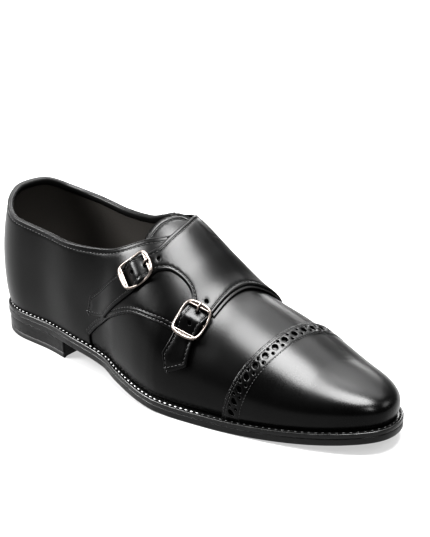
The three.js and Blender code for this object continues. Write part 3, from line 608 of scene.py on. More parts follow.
def cut_leather(outline, top, thick, holes=(), channels=(), spacing=2.0, edge=0.6, depth=0.22, joint=None):
    """A cut piece laid on the last, with rounded edges, punched holes and stitch channels.

    outline is closed, top gives the height of the outer face, joint tells which points meet another sheet.
    """
    outline = short_sided(outline, 1.8)
    loops = [outline] + [circle(c, r, n) for c, r, n in holes]
    edges, start = [], 0
    for loop in loops:
        edges += [(start + i, start + (i + 1) % len(loop)) for i in range(len(loop))]
        start += len(loop)
    flat_points = np.vstack(loops + [inner_points(outline, holes, channels, spacing, edge)])
    result = delaunay_2d_cdt([Vector(p) for p in flat_points], edges, [], 2, 1e-4)
    plane = np.array([(p.x, p.y) for p in result[0]])
    triangles = np.array([f for f in result[2] if len(f) == 3])
    middle = plane[triangles].mean(1)
    keep = inside(middle, outline)
    for c, r, n in holes:
        keep &= np.hypot(*(middle - c).T) > r * 0.97
    triangles = triangles[keep]
    on_joint = joint(plane) if joint else np.zeros(len(plane), bool)
    from_edge = distance_to(plane, outline, True)
    if joint:
        away = np.abs(plane[:, 0] - plane[on_joint, 0].mean())
        from_edge = np.maximum(from_edge, np.where(away < 1.5 * edge, 99, 0) * (from_edge >= away - 1e-6))
    reach = np.clip(1 - from_edge / edge, 0, 1)
    drop = edge * (1 - np.sqrt(1 - reach ** 2 * 0.98))
    for c, r, n in holes:
        far = np.hypot(*(plane - c).T) - r
        drop = np.maximum(drop, 0.25 * np.clip(1 - far / 0.45, 0, 1) ** 2)
    for line in channels:
        drop = drop + depth * np.exp(-(distance_to(plane, line) / 0.45) ** 2)
    face = top(plane[:, 0], plane[:, 1])
    outer = last.lifted(plane[:, 0], plane[:, 1], face - np.minimum(drop, thick * 0.8))
    inner = last.lifted(plane[:, 0], plane[:, 1], face - thick)
    count = len(plane)
    faces = [tuple(t) for t in triangles] + [tuple(t[::-1] + count) for t in triangles]
    directed = {e for a, b, c in triangles for e in ((a, b), (b, c), (c, a))}
    for a, b in directed:
        if (b, a) not in directed and not (on_joint[a] and on_joint[b]):
            faces.append((b, a, a + count, b + count))
    return np.vstack([outer, inner]), faces


def leather_panel(name, outline, top, thick, finish, slot, stands_for=(), **cut):
    points, faces = cut_leather(outline, top, thick, **cut)
    return piece(name, points, faces, finish, stands_for)


THREAD_RINGS = 5
THREAD_SIDES = 7


def thread_shape(long, wide, high, power, least):
    """Points of one stitch about its middle, thinner at its ends: along, across and up."""
    points = []
    for i in range(THREAD_RINGS):
        u = -1 + 2 * i / (THREAD_RINGS - 1)
        fat = math.sqrt(max(least, 1 - abs(u) ** power))
        for k in range(THREAD_SIDES):
            turn = 2 * math.pi * k / THREAD_SIDES
            points.append((u * long / 2, math.cos(turn) * wide / 2 * fat, math.sin(turn) * high / 2 * fat))
    return np.array(points)


def stitches(name, lines, height, finish, slot, pitch=2.9, long=2.1, wide=0.52, high=0.5, sink=0.12):
    """Rows of thread on the last: lines of (run, girth) points, height a function of (run, girth)."""
    shape = thread_shape(long, wide, high, 2.6, 0.06)
    faces = closed_tube_faces(THREAD_RINGS, THREAD_SIDES)
    bundle = Parts()
    for line in lines:
        line = np.asarray(line, float)
        solid_line = last.lifted(line[:, 0], line[:, 1], height(line[:, 0], line[:, 1]))
        far = length_along(solid_line)
        count = int(far[-1] / pitch)
        at = (np.arange(count) + 0.5) * far[-1] / max(count, 1)
        for d in at:
            a, b = (place_on(solid_line, far, d + e) for e in (-long / 2, long / 2))
            place = place_on(line, far, d)
            n = last.normal(place[0], place[1])
            ahead = b - a
            ahead /= np.linalg.norm(ahead) + 1e-9
            side = np.cross(n, ahead)
            side /= np.linalg.norm(side) + 1e-9
            up = np.cross(ahead, side)
            centre = (a + b) / 2 - up * sink
            bundle.add(centre + shape @ np.stack([ahead, side, up]), faces)
    return bundle.piece(name, finish, slot)


# ------------------------------------------------------------------ finishes


class Field:
    """A number that varies over a surface. Sums on it add its Math nodes."""

    def __init__(self, finish, socket):
        self.finish = finish
        self.socket = socket

    def _sum(self, operation, first, second):
        return self.finish.node("ShaderNodeMath", {"operation": operation}, {0: first, 1: second})

    def __add__(self, other):
        return self._sum("ADD", self, other)

    __radd__ = __add__

    def __mul__(self, other):
        return self._sum("MULTIPLY", self, other)

    __rmul__ = __mul__

    def __sub__(self, other):
        return self._sum("SUBTRACT", self, other)

    def __rsub__(self, other):
        return self._sum("SUBTRACT", other, self)


class Finish:
    """One material, with a method that adds any node."""

    def __init__(self, name):
        self.material = bpy.data.materials.new(name)
        self.material.use_nodes = True
        self.tree = self.material.node_tree
        self.shader = self.tree.nodes["Principled BSDF"]

    def node(self, kind, settings=None, inputs=None, output=0):
        made = self.tree.nodes.new(kind)
        for key, value in (settings or {}).items():
            if key == "stops":
                ramp = made.color_ramp
                while len(ramp.elements) > len(value):
                    ramp.elements.remove(ramp.elements[-1])
                while len(ramp.elements) < len(value):
                    ramp.elements.new(0.5)
                for element, (at, colour) in zip(ramp.elements, value):
                    element.position = at
                    element.color = colour
            else:
                setattr(made, key, value)
        for key, value in (inputs or {}).items():
            self.feed(made.inputs[key], value)
        return Field(self, made.outputs[output])

    def feed(self, socket, value):
        """Gives an input a plain value, or links a varying one to it."""
        if isinstance(value, Field):
            self.tree.links.new(value.socket, socket)
        else:
            socket.default_value = value

    def place(self):
        """Place on the object, in metres."""
        return self.node("ShaderNodeTexCoord", output=3)

    def noise(self, scale, detail=3.0, roughness=0.5, distortion=0.0):
        return self.node("ShaderNodeTexNoise", None, {
            "Vector": self.place(), "Scale": scale, "Detail": detail, "Roughness": roughness,
            "Distortion": distortion})

    def cells(self, scale):
        return self.node("ShaderNodeTexVoronoi", {"feature": "F1"}, {"Vector": self.place(), "Scale": scale})

    def ramp(self, value, stops):
        return self.node("ShaderNodeValToRGB", {"stops": [(at, (g, g, g, 1)) for at, g in stops]}, {0: value})

    def mix(self, factor, first, second):
        return self.node("ShaderNodeMix", {"data_type": "RGBA"}, {0: factor, 6: first, 7: second}, output=2)

    def bump(self, height, strength, distance, under=None):
        inputs = {"Height": height, "Strength": strength, "Distance": distance}
        if under is not None:
            inputs["Normal"] = under
        return self.node("ShaderNodeBump", None, inputs)

    def set(self, **values):
        for key, value in values.items():
            self.feed(self.shader.inputs[key.replace("_", " ")], value)


def rgb(value, warm=0.0):
    return (value * (1 + warm), value, value * (1 - warm), 1)


def calf(name, shade, shine, coat, grain):
    """Smooth black calf: a fine grain, faint pull marks and a soft uneven polish."""
    f = Finish(name)
    pores = f.cells(1500)
    pebble = f.noise(950, 4, 0.55)
    cloth = f.noise(38, 3, 0.5)
    dust = f.noise(4200, 2, 0.6)
    colour = f.mix(f.ramp(cloth, [(0.3, 0), (0.75, 1)]), rgb(shade), rgb(shade * 1.7))
    rough = shine + (pebble - 0.5) * 0.10 + (cloth - 0.5) * 0.12 + (dust - 0.5) * 0.05
    height = pebble * 0.65 + pores * 0.35
    fine = f.bump(height, grain, 0.00012)
    both = f.bump(f.noise(60, 2, 0.5), 0.05, 0.0005, fine)
    f.set(Base_Color=colour, Roughness=rough, Normal=both, Coat_Weight=coat + (cloth - 0.5) * 0.12)
    f.set(Coat_Roughness=0.26, Specular_IOR_Level=0.13)
    return f.material


def thread(name, shade):
    f = Finish(name)
    twist = f.noise(5200, 2, 0.5, 0.6)
    f.set(Base_Color=f.mix(twist, rgb(shade * 0.7), rgb(shade * 1.5)), Roughness=0.5 + (twist - 0.5) * 0.2,
          Normal=f.bump(twist, 0.5, 0.0001))
    return f.material


def waxed_edge(name, shade, shine):
    """Burnished sole edge: fine lines along it from the edge iron, with small dull scuffs."""
    f = Finish(name)
    lines = f.node("ShaderNodeTexWave", {"wave_type": "BANDS", "bands_direction": "Z"},
                   {"Vector": f.place(), "Scale": 420.0, "Distortion": 0.6, "Detail": 2.0,
                    "Detail Scale": 2.0})
    spots = f.ramp(f.noise(260, 5, 0.6), [(0.52, 0), (0.68, 1)])
    fibre = f.noise(1600, 3, 0.6)
    f.set(Base_Color=f.mix(spots, rgb(shade), rgb(shade * 2.2)),
          Roughness=shine + spots * 0.16 + (fibre - 0.5) * 0.14,
          Normal=f.bump(lines * 0.35 + fibre * 0.5, 0.22, 0.00018), Coat_Weight=0.12 - spots * 0.10)
    f.set(Coat_Roughness=0.3, Specular_IOR_Level=0.22)
    return f.material


def rubber(name, shade):
    f = Finish(name)
    fine = f.noise(1900, 3, 0.6)
    scuff = f.ramp(f.noise(120, 4, 0.55), [(0.5, 0), (0.72, 1)])
    f.set(Base_Color=f.mix(scuff, rgb(shade), rgb(shade * 2.0)), Roughness=0.62 + (fine - 0.5) * 0.2,
          Normal=f.bump(fine, 0.3, 0.0002))
    return f.material


def lining(name, shade, warm):
    """Soft dark lining leather, duller than the outside."""
    f = Finish(name)
    grain = f.noise(1300, 4, 0.6)
    cloud = f.noise(45, 3, 0.5)
    f.set(Base_Color=f.mix(cloud, rgb(shade, warm), rgb(shade * 1.9, warm)),
          Roughness=0.62 + (grain - 0.5) * 0.2, Normal=f.bump(grain, 0.28, 0.0002))
    return f.material


def nickel(name):
    """Polished nickel with hairlines and small dull marks."""
    f = Finish(name)
    hair = f.noise(2600, 3, 0.6, 0.4)
    marks = f.ramp(f.noise(700, 4, 0.6), [(0.55, 0), (0.75, 1)])
    f.set(Base_Color=f.mix(marks, (0.13, 0.115, 0.106, 1), (0.09, 0.08, 0.074, 1)), Metallic=1.0,
          Roughness=0.38 + (hair - 0.5) * 0.08 + marks * 0.10, Normal=f.bump(hair, 0.06, 0.00005))
    return f.material


# calf: name, shade, roughness, coat, depth of the grain
calf_black = calf("black_calf", 0.0003, 0.33, 0.05, 0.30)
calf_polished = calf("polished_toe_calf", 0.0003, 0.30, 0.08, 0.14)
calf_cut = calf("cut_calf_edge", 0.003, 0.40, 0.05, 0.35)
lining_dark = lining("dark_lining", 0.005, 0.22)
thread_black = thread("black_thread", 0.004)
thread_grey = thread("grey_welt_thread", 0.30)
sole_edge = waxed_edge("burnished_sole_edge", 0.0015, 0.38)
welt_edge = waxed_edge("burnished_welt", 0.003, 0.34)
heel_edge = waxed_edge("burnished_heel", 0.0015, 0.42)
rubber_black = rubber("black_top_piece", 0.006)
metal = nickel("polished_nickel")

# ------------------------------------------------------------------ sole, welt and heel


def edge_points(side, runs):
    x = x_of_run(runs)
    return x, edge_y(side, x)


def rim_ends(run, at_end, outset):
    """The lateral and medial points of the sole's edge at a run, each moved out by outset."""
    ends = []
    for side in (-1, 1):
        x, y = edge_points(side, np.array([run]))
        ox, oy = outward(side, np.array([run]))
        if at_end:
            ox, oy = np.array([-1.0 if run < 0 else 1.0]), np.array([0.0])
        ends.append((x[0] + ox[0] * outset, y[0] + oy[0] * outset))
    return ends


def ring_around(profile, runs):
    """Closed ring swept round the sole's edge; profile is (outset, height above the underside)."""
    rows = []
    for side, order in ((-1, runs), (1, runs[::-1][1:-1])):
        x, y = edge_points(side, order)
        ox, oy = outward(side, order)
        if side < 0:
            ox[0], oy[0], ox[-1], oy[-1] = -1, 0, 1, 0
        for i in range(len(order)):
            row = []
            for out, high in profile:
                px = x[i] + ox[i] * out
                row.append((px, y[i] + oy[i] * out, float(underside(px)) + high))
            rows.append(row)
    return np.array(rows)


def points_between(a, b, parts, lift):
    """Points on the line between two places, at a height over the underside."""
    points = []
    for k in range(1, parts):
        f = k / parts
        x, y = a[0] + (b[0] - a[0]) * f, a[1] + (b[1] - a[1]) * f
        points.append((x, y, float(underside(x)) + lift))
    return points


sole_runs = np.linspace(RUN_FIRST, RUN_LAST, 220)


def build_sole():
    # the edge's profile: rounded at the bottom, a shallow swell, and a fine groove under the welt
    side_profile = [(-2.2, 0.0), (-0.8, 0.05), (-0.3, 0.3), (-0.05, 0.8), (0.04, 1.6), (0.06, 2.6),
                    (0.04, 3.5), (0.0, 4.05), (-0.25, OUTSOLE)]
    across = 12
    rows = []
    for run in sole_runs:
        at_end = run in (sole_runs[0], sole_runs[-1])
        rims = [(rim_ends(run, at_end, out), high) for out, high in side_profile]
        ends = [[(*rim[side], high) for rim, high in rims] for side in (0, 1)]
        row = [(p[0], p[1], float(underside(p[0])) + p[2]) for p in ends[0]]
        row += points_between(ends[0][-1], ends[1][-1], across, OUTSOLE)
        row += [(p[0], p[1], float(underside(p[0])) + p[2]) for p in reversed(ends[1])]
        row += points_between(ends[1][0], ends[0][0], across, 0.0)
        rows.append(row)
    shape = Parts()
    shape.grid(np.array(rows), round_columns=True)
    shape.piece("leather_outsole", sole_edge, "sole_leather", ("outsole",), weld=True)


def build_welt():
    low, high = OUTSOLE + GAP * 0.3, OUTSOLE + GAP + WELT
    profile = [(-8.5, low), (-0.25, low), (0.02, low + 0.15), (0.06, low + 1.0), (0.08, high - 0.8),
               (-0.1, high - 0.28), (-0.5, high - 0.03), (-1.1, high + 0.02), (-1.55, high - 0.22),
               (-WELT_GROOVE, high - 0.26), (-2.3, high - 0.18), (-2.7, high + 0.04), (-8.5, high)]
    shape = Parts()
    shape.grid(ring_around(profile, sole_runs), round_rows=True, round_columns=True)
    shape.piece("stitched_welt", welt_edge, "welt_leather", ("welt",))
    # thread in the welt's groove: grey from the heel to the ball, dark round the toe
    for name, finish, first, end in (
            ("welt_thread_grey", thread_grey, RUN_FIRST, GREY_THREAD_END),
            ("welt_thread_black", thread_black, GREY_THREAD_END, RUN_LAST)):
        bundle = Parts()
        for side in (-1, 1):
            runs = np.linspace(first, end, 900)
            x, y = edge_points(side, runs)
            ox, oy = outward(side, runs)
            line = np.stack([x - ox * WELT_GROOVE, y - oy * WELT_GROOVE, underside(x) + high - 0.1], 1)
            far = length_along(line)
            count = int(far[-1] / WELT_STITCH_PITCH)
            for d in (np.arange(count) + 0.5) * far[-1] / count:
                a, b = (place_on(line, far, d + e) for e in (-STITCH_HALF, STITCH_HALF))
                bundle.add(*stitch_between(a, b, 0.95, 0.8))
        bundle.piece(name, finish, "welt_leather")


def stitch_between(a, b, wide, high, away=(0, 0, 1)):
    """One stitch from a to b, standing off the surface towards away."""
    long = np.linalg.norm(b - a)
    ahead = (b - a) / long
    side = np.cross(away, ahead)
    side /= np.linalg.norm(side)
    shape = thread_shape(long, wide, high, 2.4, 0.08)
    points = (a + b) / 2 + shape @ np.stack([ahead, side, np.cross(ahead, side)])
    return points, closed_tube_faces(THREAD_RINGS, THREAD_SIDES)


def heel_outline(inset, count=150):
    """Outline of the heel, from the breast round the back, with the hollow of the breast."""
    runs = np.linspace(BREAST_X, RUN_FIRST, count)
    points = []
    for side, order in ((-1, runs), (1, runs[::-1][1:])):
        x, y = edge_points(side, order)
        ox, oy = outward(side, order)
        points += list(zip(x - ox * inset, y - oy * inset))
    a, b = np.array(points[-1]), np.array(points[0])
    for i in range(1, 24):
        f = i / 24
        y = a[1] + (b[1] - a[1]) * f
        points.append((BREAST_X - inset * 0.3 - BREAST_HOLLOW * (1 - (2 * f - 1) ** 2), y))
    return np.array(points)


def heel_part(name, levels, finish, slot, node):
    """levels are (inset, height) from the bottom up."""
    rings = [[(x, y, z) for x, y in heel_outline(inset)] for inset, z in levels]
    shape = Parts()
    shape.sweep(rings)
    shape.piece(name, finish, slot, (node,))


def build_heel():
    top_piece = [(2.0, 0.0), (1.3, 0.12), (1.05, 0.5), (0.95, 1.8), (0.9, TOP_PIECE - 0.4),
                 (1.15, TOP_PIECE - 0.1), (1.6, TOP_PIECE)]
    heel_part("heel_top_piece_rubber", top_piece, rubber_black, "heel_rubber", "heel_top_piece")
    bottom, top = TOP_PIECE + 0.2, HEEL_UNDER + 0.1
    stack = [(1.5, bottom - 0.18), (1.0, bottom), (0.9, bottom + 0.3), (0.84, (bottom + top) / 2),
             (0.8, top - 0.25), (1.02, top - 0.05)]
    heel_part("heel_stack_leather", stack, heel_edge, "heel_leather", "heel_stack")


# ------------------------------------------------------------------ upper


# stations of the upper, close together round the throat
UPPER_RUNS = np.unique(np.round(np.concatenate([
    np.linspace(RUN_FIRST, 140, 96), np.linspace(140, 160, 34), np.linspace(160, RUN_LAST, 104)]), 4))
UPPER_TOP = {side: topline_girth(side, UPPER_RUNS) for side in (-1, 1)}


def shell_half(side, columns, height):
    """Grid of one half of the upper at a height over the last, from its top to the feather edge."""
    top = UPPER_TOP[side]
    whole = last.length(side, UPPER_RUNS)
    part = np.linspace(0, 1, columns)
    girth = side * (top[:, None] + (whole - top)[:, None] * part[None, :])
    girth = np.where(np.abs(girth) < 1e-6, side * 1e-6, girth)
    runs = np.repeat(UPPER_RUNS[:, None], columns, 1)
    lift = height(runs, girth) if callable(height) else np.full(runs.shape, float(height))
    return last.lifted(runs, girth, lift)


def build_upper():
    outer, inner = Parts(), Parts()
    halves = {side: (shell_half(side, 70, folds), shell_half(side, 40, -WALL + 0.1)) for side in (-1, 1)}
    for side, (a, b) in halves.items():
        outer.grid(a, flip=side < 0)
        inner.grid(b, flip=side > 0)
    # the vamp and the lining meet at the feather edge and along the throat in one strip
    for side, (a, b) in halves.items():
        outer.grid(np.stack([a[:, -1], b[:, -1]]), flip=side > 0)
        open_part = UPPER_TOP[side] > 0
        stop = int(np.argmin(open_part)) + 1 if not open_part.all() else len(UPPER_RUNS)
        outer.grid(np.stack([a[:stop, 0], b[:stop, 0]]), flip=side < 0)
    outer.piece("vamp_and_shell", calf_black, "upper_leather", ("upper",), weld=True)
    inner.piece("upper_lining", lining_dark, "footbed_leather", weld=True)


def build_insole():
    across = 20
    runs = np.linspace(RUN_FIRST, RUN_LAST, 130)
    rows, unders = [], []
    inset = 7.6
    for run in runs:
        ends = rim_ends(run, run in (runs[0], runs[-1]), -inset)
        row, under = [], []
        for k in range(across + 1):
            f = k / across
            x = ends[0][0] + (ends[1][0] - ends[0][0]) * f
            y = ends[0][1] + (ends[1][1] - ends[0][1]) * f
            cup = 0.9 * (2 * f - 1) ** 4
            row.append((x, y, float(underside(x)) + FEATHER + 1.2 + cup))
            under.append((x, y, float(underside(x)) + OUTSOLE + 0.6))
        rows.append(row)
        unders.append(under)
    shape = Parts()
    rows, unders = np.array(rows), np.array(unders)
    shape.skins(rows, unders)
    shape.piece("sock_lining", lining_dark, "footbed_leather", ("insole",), weld=True)


# ------------------------------------------------------------------ quarters, straps and cap


def quarter_height(run, girth):
    return QUARTER_TOP + folds(run, girth)


def buckle_frame(bars):
    """Placing of a buckle: X along the strap from the instep side, Y across it, Z off the last."""
    inner, outer = np.array(bars[0]), np.array(bars[1])
    middle = (inner + outer) / 2
    centre = last.point(*middle)
    up = last.normal(*middle)
    ahead = last.point(*outer) - last.point(*inner)
    ahead -= up * ahead.dot(up)
    ahead /= np.linalg.norm(ahead)
    side = np.cross(up, ahead)
    return centre, ahead, side, up


front_place = buckle_frame(FRONT_BUCKLE)
rear_place = buckle_frame(REAR_BUCKLE)


def strap_rise(run, girth):
    """The straps rise over the middle bar of each buckle and dip under its end bars."""
    at = last.point(run, girth)
    rise = np.zeros(at.shape[:-1])
    for centre, ahead, side, up in (front_place, rear_place):
        d = at - centre
        x, y, z = d @ ahead, d @ side, d @ up
        near = (np.abs(y) < 12) & (np.abs(z) < 10)
        rise = np.maximum(rise, np.where(near, CREST * np.exp(-(x / 4.4) ** 2), 0))
    return rise


def strap_height(run, girth):
    """Outer face of the strap panel: thick over the instep, thinner where it is the medial quarter."""
    medial = np.clip((girth - 24) / 26, 0, 1)
    thin = medial * medial * (3 - 2 * medial)
    low_front = 1 - np.clip(np.abs(run - 192) / 10, 0, 1)
    stand_off = 0.7 * low_front * np.clip(1 - np.abs(girth - 4) / 34, 0, 1)
    thickness = STRAP_TOP - thin * (STRAP_TOP - QUARTER_TOP - 0.05)
    return thickness + strap_rise(run, girth) + stand_off + 0.6 * folds(run, girth)


def runs_between(first, end, spacing):
    return np.arange(first, end, math.copysign(spacing, end - first))


def topline_points(side, first, end, spacing=1.2):
    runs = runs_between(first, end, spacing)
    return np.c_[runs, side * topline_girth(side, runs)]


def feather_points(side, first, end, spacing=1.5):
    runs = runs_between(first, end, spacing)
    return np.c_[runs, side * (last.length(side, runs) - 0.3)]


def join(*lines):
    out = np.vstack(lines)
    keep = np.r_[True, np.linalg.norm(np.diff(out, axis=0), axis=1) > 0.25]
    out = out[keep]
    if np.linalg.norm(out[0] - out[-1]) < 0.25:
        out = out[:-1]
    return out


def strap_edge(points, spacing=1.0):
    """Edge of a strap: smooth along its length, with a sharp turn at the shoulder of its point."""
    smooth_part = smooth_line(points[:4], spacing)
    return np.vstack([smooth_part, resample([points[3], points[4]], spacing)[1:]])


def build_straps():
    medial_back = RUN_FIRST + 0.4
    seam_end = MEDIAL_SEAM[-1][0]
    front = smooth_line(PANEL_FRONT)
    rear = smooth_line(PANEL_REAR)
    collar = topline_points(1, 96, medial_back)
    outline = join(
        strap_edge(FRONT_STRAP_TOE_SIDE)[::-1], front, smooth_line(MEDIAL_SEAM),
        feather_points(1, seam_end - 1, medial_back),
        [(medial_back, float(last.length(1, medial_back)) - 0.5)],
        collar[::-1], rear[::-1], strap_edge(REAR_STRAP_HEEL_SIDE), strap_edge(REAR_STRAP_TOE_SIDE)[::-1],
        smooth_line(NOTCH)[::-1], strap_edge(FRONT_STRAP_HEEL_SIDE))

    def strap_row(line):
        return offset_line(line, STRAP_ROW)

    side_lines = [
        join(strap_row(strap_edge(FRONT_STRAP_TOE_SIDE)[::-1]), offset_line(front, PANEL_FRONT_ROW)),
        join(offset_line(rear[::-1], PANEL_REAR_ROW), strap_row(strap_edge(REAR_STRAP_HEEL_SIDE))),
        join(strap_row(strap_edge(REAR_STRAP_TOE_SIDE)[::-1]), strap_row(smooth_line(NOTCH)[::-1]),
             strap_row(strap_edge(FRONT_STRAP_HEEL_SIDE))),
    ] + [offset_line(smooth_line(MEDIAL_SEAM), d) for d in MEDIAL_ROWS]
    collar_line = offset_line(collar[::-1], COLLAR_ROW)
    holes = []
    for bars in (FRONT_BUCKLE, REAR_BUCKLE):
        a, b = np.array(bars[0]), np.array(bars[1])
        for x in STRAP_HOLES:
            spot = a + (b - a) * (0.5 + x / BAR_SPACING)
            holes.append((tuple(spot), HOLE_R, 14))
    tack = smooth_line(BAR_TACK)
    lines = side_lines + [collar_line, tack]
    leather_panel("medial_quarter_and_straps", outline, strap_height, 1.6, calf_black, "upper_leather",
                  stands_for=("monk_straps",), holes=holes, channels=lines, edge=0.9, depth=0.3)
    stitches("strap_stitches", lines, strap_height, thread_black, "upper_leather", pitch=2.5, long=1.9)
    under = join(offset_line(front, -1.7), offset_line(front, 4.5)[::-1])
    leather_panel("strap_underlayer", under, lambda r, g: strap_height(r, g) - 1.45, 0.9, calf_cut,
                  "upper_leather", edge=0.4)


def build_lateral_quarter():
    seam = smooth_line(LATERAL_SEAM)
    back = RUN_FIRST + 0.4
    collar = topline_points(-1, back, 150)
    seam_end = LATERAL_SEAM[-1][0]
    outline = join(
        collar, smooth_line([(150, collar[-1][1]), (162, -25), (176, -25.5), (186, -30), (188.5, -40)]), seam,
        feather_points(-1, seam_end - 1, back), [(back, -float(last.length(-1, back)) + 0.5)])
    lines = [offset_line(seam, d) for d in LATERAL_ROWS] + [offset_line(collar, -COLLAR_ROW)]
    leather_panel("lateral_quarter", outline[::-1], quarter_height, 1.1, calf_black, "upper_leather",
                  channels=lines, edge=0.55)
    stitches("lateral_quarter_stitches", lines, quarter_height, thread_black, "upper_leather",
             pitch=2.7, long=2.0)


def cap_edge_run(girth):
    return curve(CAP_EDGE, girth)


def cap_height(run, girth):
    """Outer face of the cap: the punched band stands a little higher than the toe in front of it."""
    from_edge = run - cap_edge_run(girth)
    step = np.clip((from_edge - BAND_WIDE + 0.2) / 1.2, 0, 1)
    return CAP_TOP + 0.2 - 0.3 * step * step * (3 - 2 * step)


def build_cap():
    inset = 0.05
    girths = np.r_[-np.linspace(1, 0.0125, 80), np.linspace(0.0125, 1, 80)]
    ends = {side: float(last.length(side, 217.0)) for side in (-1, 1)}
    low, high = -ends[-1] + inset, ends[1] - inset
    across = np.linspace(low, high, 170)
    rear = np.c_[cap_edge_run(across), across]

    def feather_girths(run):
        return np.array([v * (float(last.length(1 if v > 0 else -1, run)) - inset) for v in girths])

    joint = np.c_[np.full(len(girths), CAP_JOINT), feather_girths(CAP_JOINT)]
    sides = {}
    for side in (-1, 1):
        runs = np.arange(rear[0 if side < 0 else -1, 0] + 1, CAP_JOINT - 0.5, 1.2)
        sides[side] = np.c_[runs, side * (last.length(side, runs) - inset)]
    outline = join(rear, sides[1], joint[::-1], sides[-1][::-1])
    rows = [np.c_[cap_edge_run(across[2:-2]) + d, across[2:-2]] for d in (1.0, 2.2, BAND_WIDE)]
    holes = []
    for k in range(PUNCH_COUNT):
        g = PUNCH_START + PUNCH_PITCH * k
        if g > high - 6:
            break
        holes.append(((float(cap_edge_run(g)) + BIG_PUNCH_BACK, g), BIG_PUNCH, 20))
        half = g + PUNCH_PITCH / 2 + 0.2
        if k < PUNCH_COUNT - 1 and half < high - 5:
            holes += [((float(cap_edge_run(half)) + back, half + along), SMALL_PUNCH, 12)
                      for back, along in SMALL_PUNCHES]
    sheet = Parts()
    sheet.add(*cut_leather(outline, cap_height, 1.2, holes=holes, channels=rows, spacing=1.7, edge=0.55,
                           depth=0.2, joint=lambda p: np.abs(p[:, 0] - CAP_JOINT) < 1e-4))
    runs = np.r_[CAP_JOINT, np.linspace(CAP_JOINT + 1, RUN_LAST, 60)]
    for face, flip in ((0.0, False), (1.2, True)):
        grid = []
        for run in runs:
            g = feather_girths(run)
            r = np.full(len(g), run)
            grid.append(last.lifted(r, g, cap_height(r, g) - face))
        grid = np.array(grid)
        sheet.grid(grid, flip=flip)
        if face == 0.0:
            outer = grid
    for column in (0, -1):
        sheet.grid(np.stack([outer[:, column], grid[:, column]]))
    sheet.piece("toe_cap_with_punched_band", calf_polished, "upper_leather", ("toe_cap",), weld=True)
    stitches("cap_stitches", rows, cap_height, thread_black, "upper_leather", pitch=2.0, long=1.5, wide=0.45)


def build_tongue():
    rear = smooth_line([(x, w) for w, x in TONGUE_EDGE])
    outline = join(rear, resample([(164, 26), (186, 20), (186, -24), (152, -40)], 1.0),
                   resample([(152, -40), rear[0]], 1.0))

    def height(run, girth):
        from_rear = distance_to(np.c_[run, girth], rear)
        roll = np.exp(-((from_rear - 1.9) / 1.5) ** 2)
        return TONGUE_TOP + 0.55 * roll + 0.9 * np.clip((run - 142) / 30, 0, 1)

    seam = offset_line(rear, -3.9 if rear[-1][1] > rear[0][1] else 3.9)
    leather_panel("tongue_leather", outline, height, 1.9, calf_black, "upper_leather", ("tongue",),
                  channels=[seam], spacing=1.4, edge=0.95, depth=0.35)
    stitches("tongue_stitches", [seam[3:-3]], height, thread_black, "upper_leather", pitch=2.4, long=1.8)


def build_collar_binding():
    """A piped binding folded over the top of the collar, from the throat round the heel to the strap."""
    # out from the last and up from the topline
    profile = [(-2.3, -3.6), (-2.5, -2.4), (-2.45, -1.0), (-2.15, -0.1), (-1.6, 0.4), (-0.9, 0.5),
               (-0.35, 0.3), (-0.05, 0.15), (0.35, 0.38), (0.85, 0.35), (1.25, 0.05), (1.38, -0.35),
               (1.3, -0.75), (0.9, -0.9), (-1.2, -1.6)]
    lateral = topline_points(-1, 152, RUN_FIRST + 0.15)
    medial = topline_points(1, RUN_FIRST + 0.15, 118)
    line = np.vstack([lateral, medial])
    points = last.point(line[:, 0], line[:, 1])
    normals = last.normal(line[:, 0], line[:, 1])
    tangent = np.gradient(points, axis=0)
    tangent /= np.linalg.norm(tangent, axis=1, keepdims=True)
    up = np.cross(tangent, normals)
    up *= np.sign(up[:, 2:3])
    rows = [[p + n * a + u * b for a, b in profile] for p, n, u in zip(points, normals, up)]
    bundle = Parts()
    bundle.sweep(rows)
    bundle.piece("collar_binding", calf_cut, "upper_leather")


def build_back_strip():
    """The narrow strip over the back seam, with a short cross seam at its top."""
    half, thick, below_collar = 5.6, 0.85, 29
    across = np.array([-1, -0.97, -0.9, -0.6, -0.3, 0.0, 0.3, 0.6, 0.9, 0.97, 1]) * half
    levels = np.linspace(0, 1, 46)
    outer, inner = [], []
    # the first row starts from each side's own topline, the rest from the medial one
    tops = {side: float(topline_girth(side, [RUN_FIRST + 3])[0]) for side in (-1, 1)}
    for f in levels:
        row, under = [], []
        for v in across:
            side = -1 if v < 0 else 1
            run = RUN_FIRST + abs(v) + 0.01
            start = tops[side if f == 0 else 1] + below_collar
            girth = side * (start + (float(last.length(side, run)) - 0.3 - start) * f)
            edge_drop = 0.35 * max(0.0, (abs(v) / half - 0.88) / 0.12) ** 2
            row.append(last.lifted(np.array([run]), np.array([girth]), QUARTER_TOP + thick - edge_drop)[0])
            under.append(last.lifted(np.array([run]), np.array([girth]), QUARTER_TOP - 0.6)[0])
        outer.append(row)
        inner.append(under)
    outer, inner = np.array(outer), np.array(inner)
    bundle = Parts()
    bundle.skins(outer, inner)
    bundle.grid(np.stack([outer[0], inner[0]]), flip=True)
    bundle.grid(np.stack([outer[-1], inner[-1]]))
    bundle.piece("back_strip", calf_black, "upper_leather", weld=True)
    threads = Parts()
    for line in (outer[1:-1, 2], outer[1:-1, -3], outer[2, 2:-2]):
        far = length_along(line)
        for d in np.arange(1.5, far[-1] - 1, 2.6):
            a, b = (place_on(line, far, d + e) for e in (-STITCH_HALF, STITCH_HALF))
            threads.add(*stitch_between(a, b, 0.5, 0.45, away=(-1, 0.02, 0)))
    threads.piece("back_strip_stitches", thread_black, "upper_leather")


# ------------------------------------------------------------------ buckles


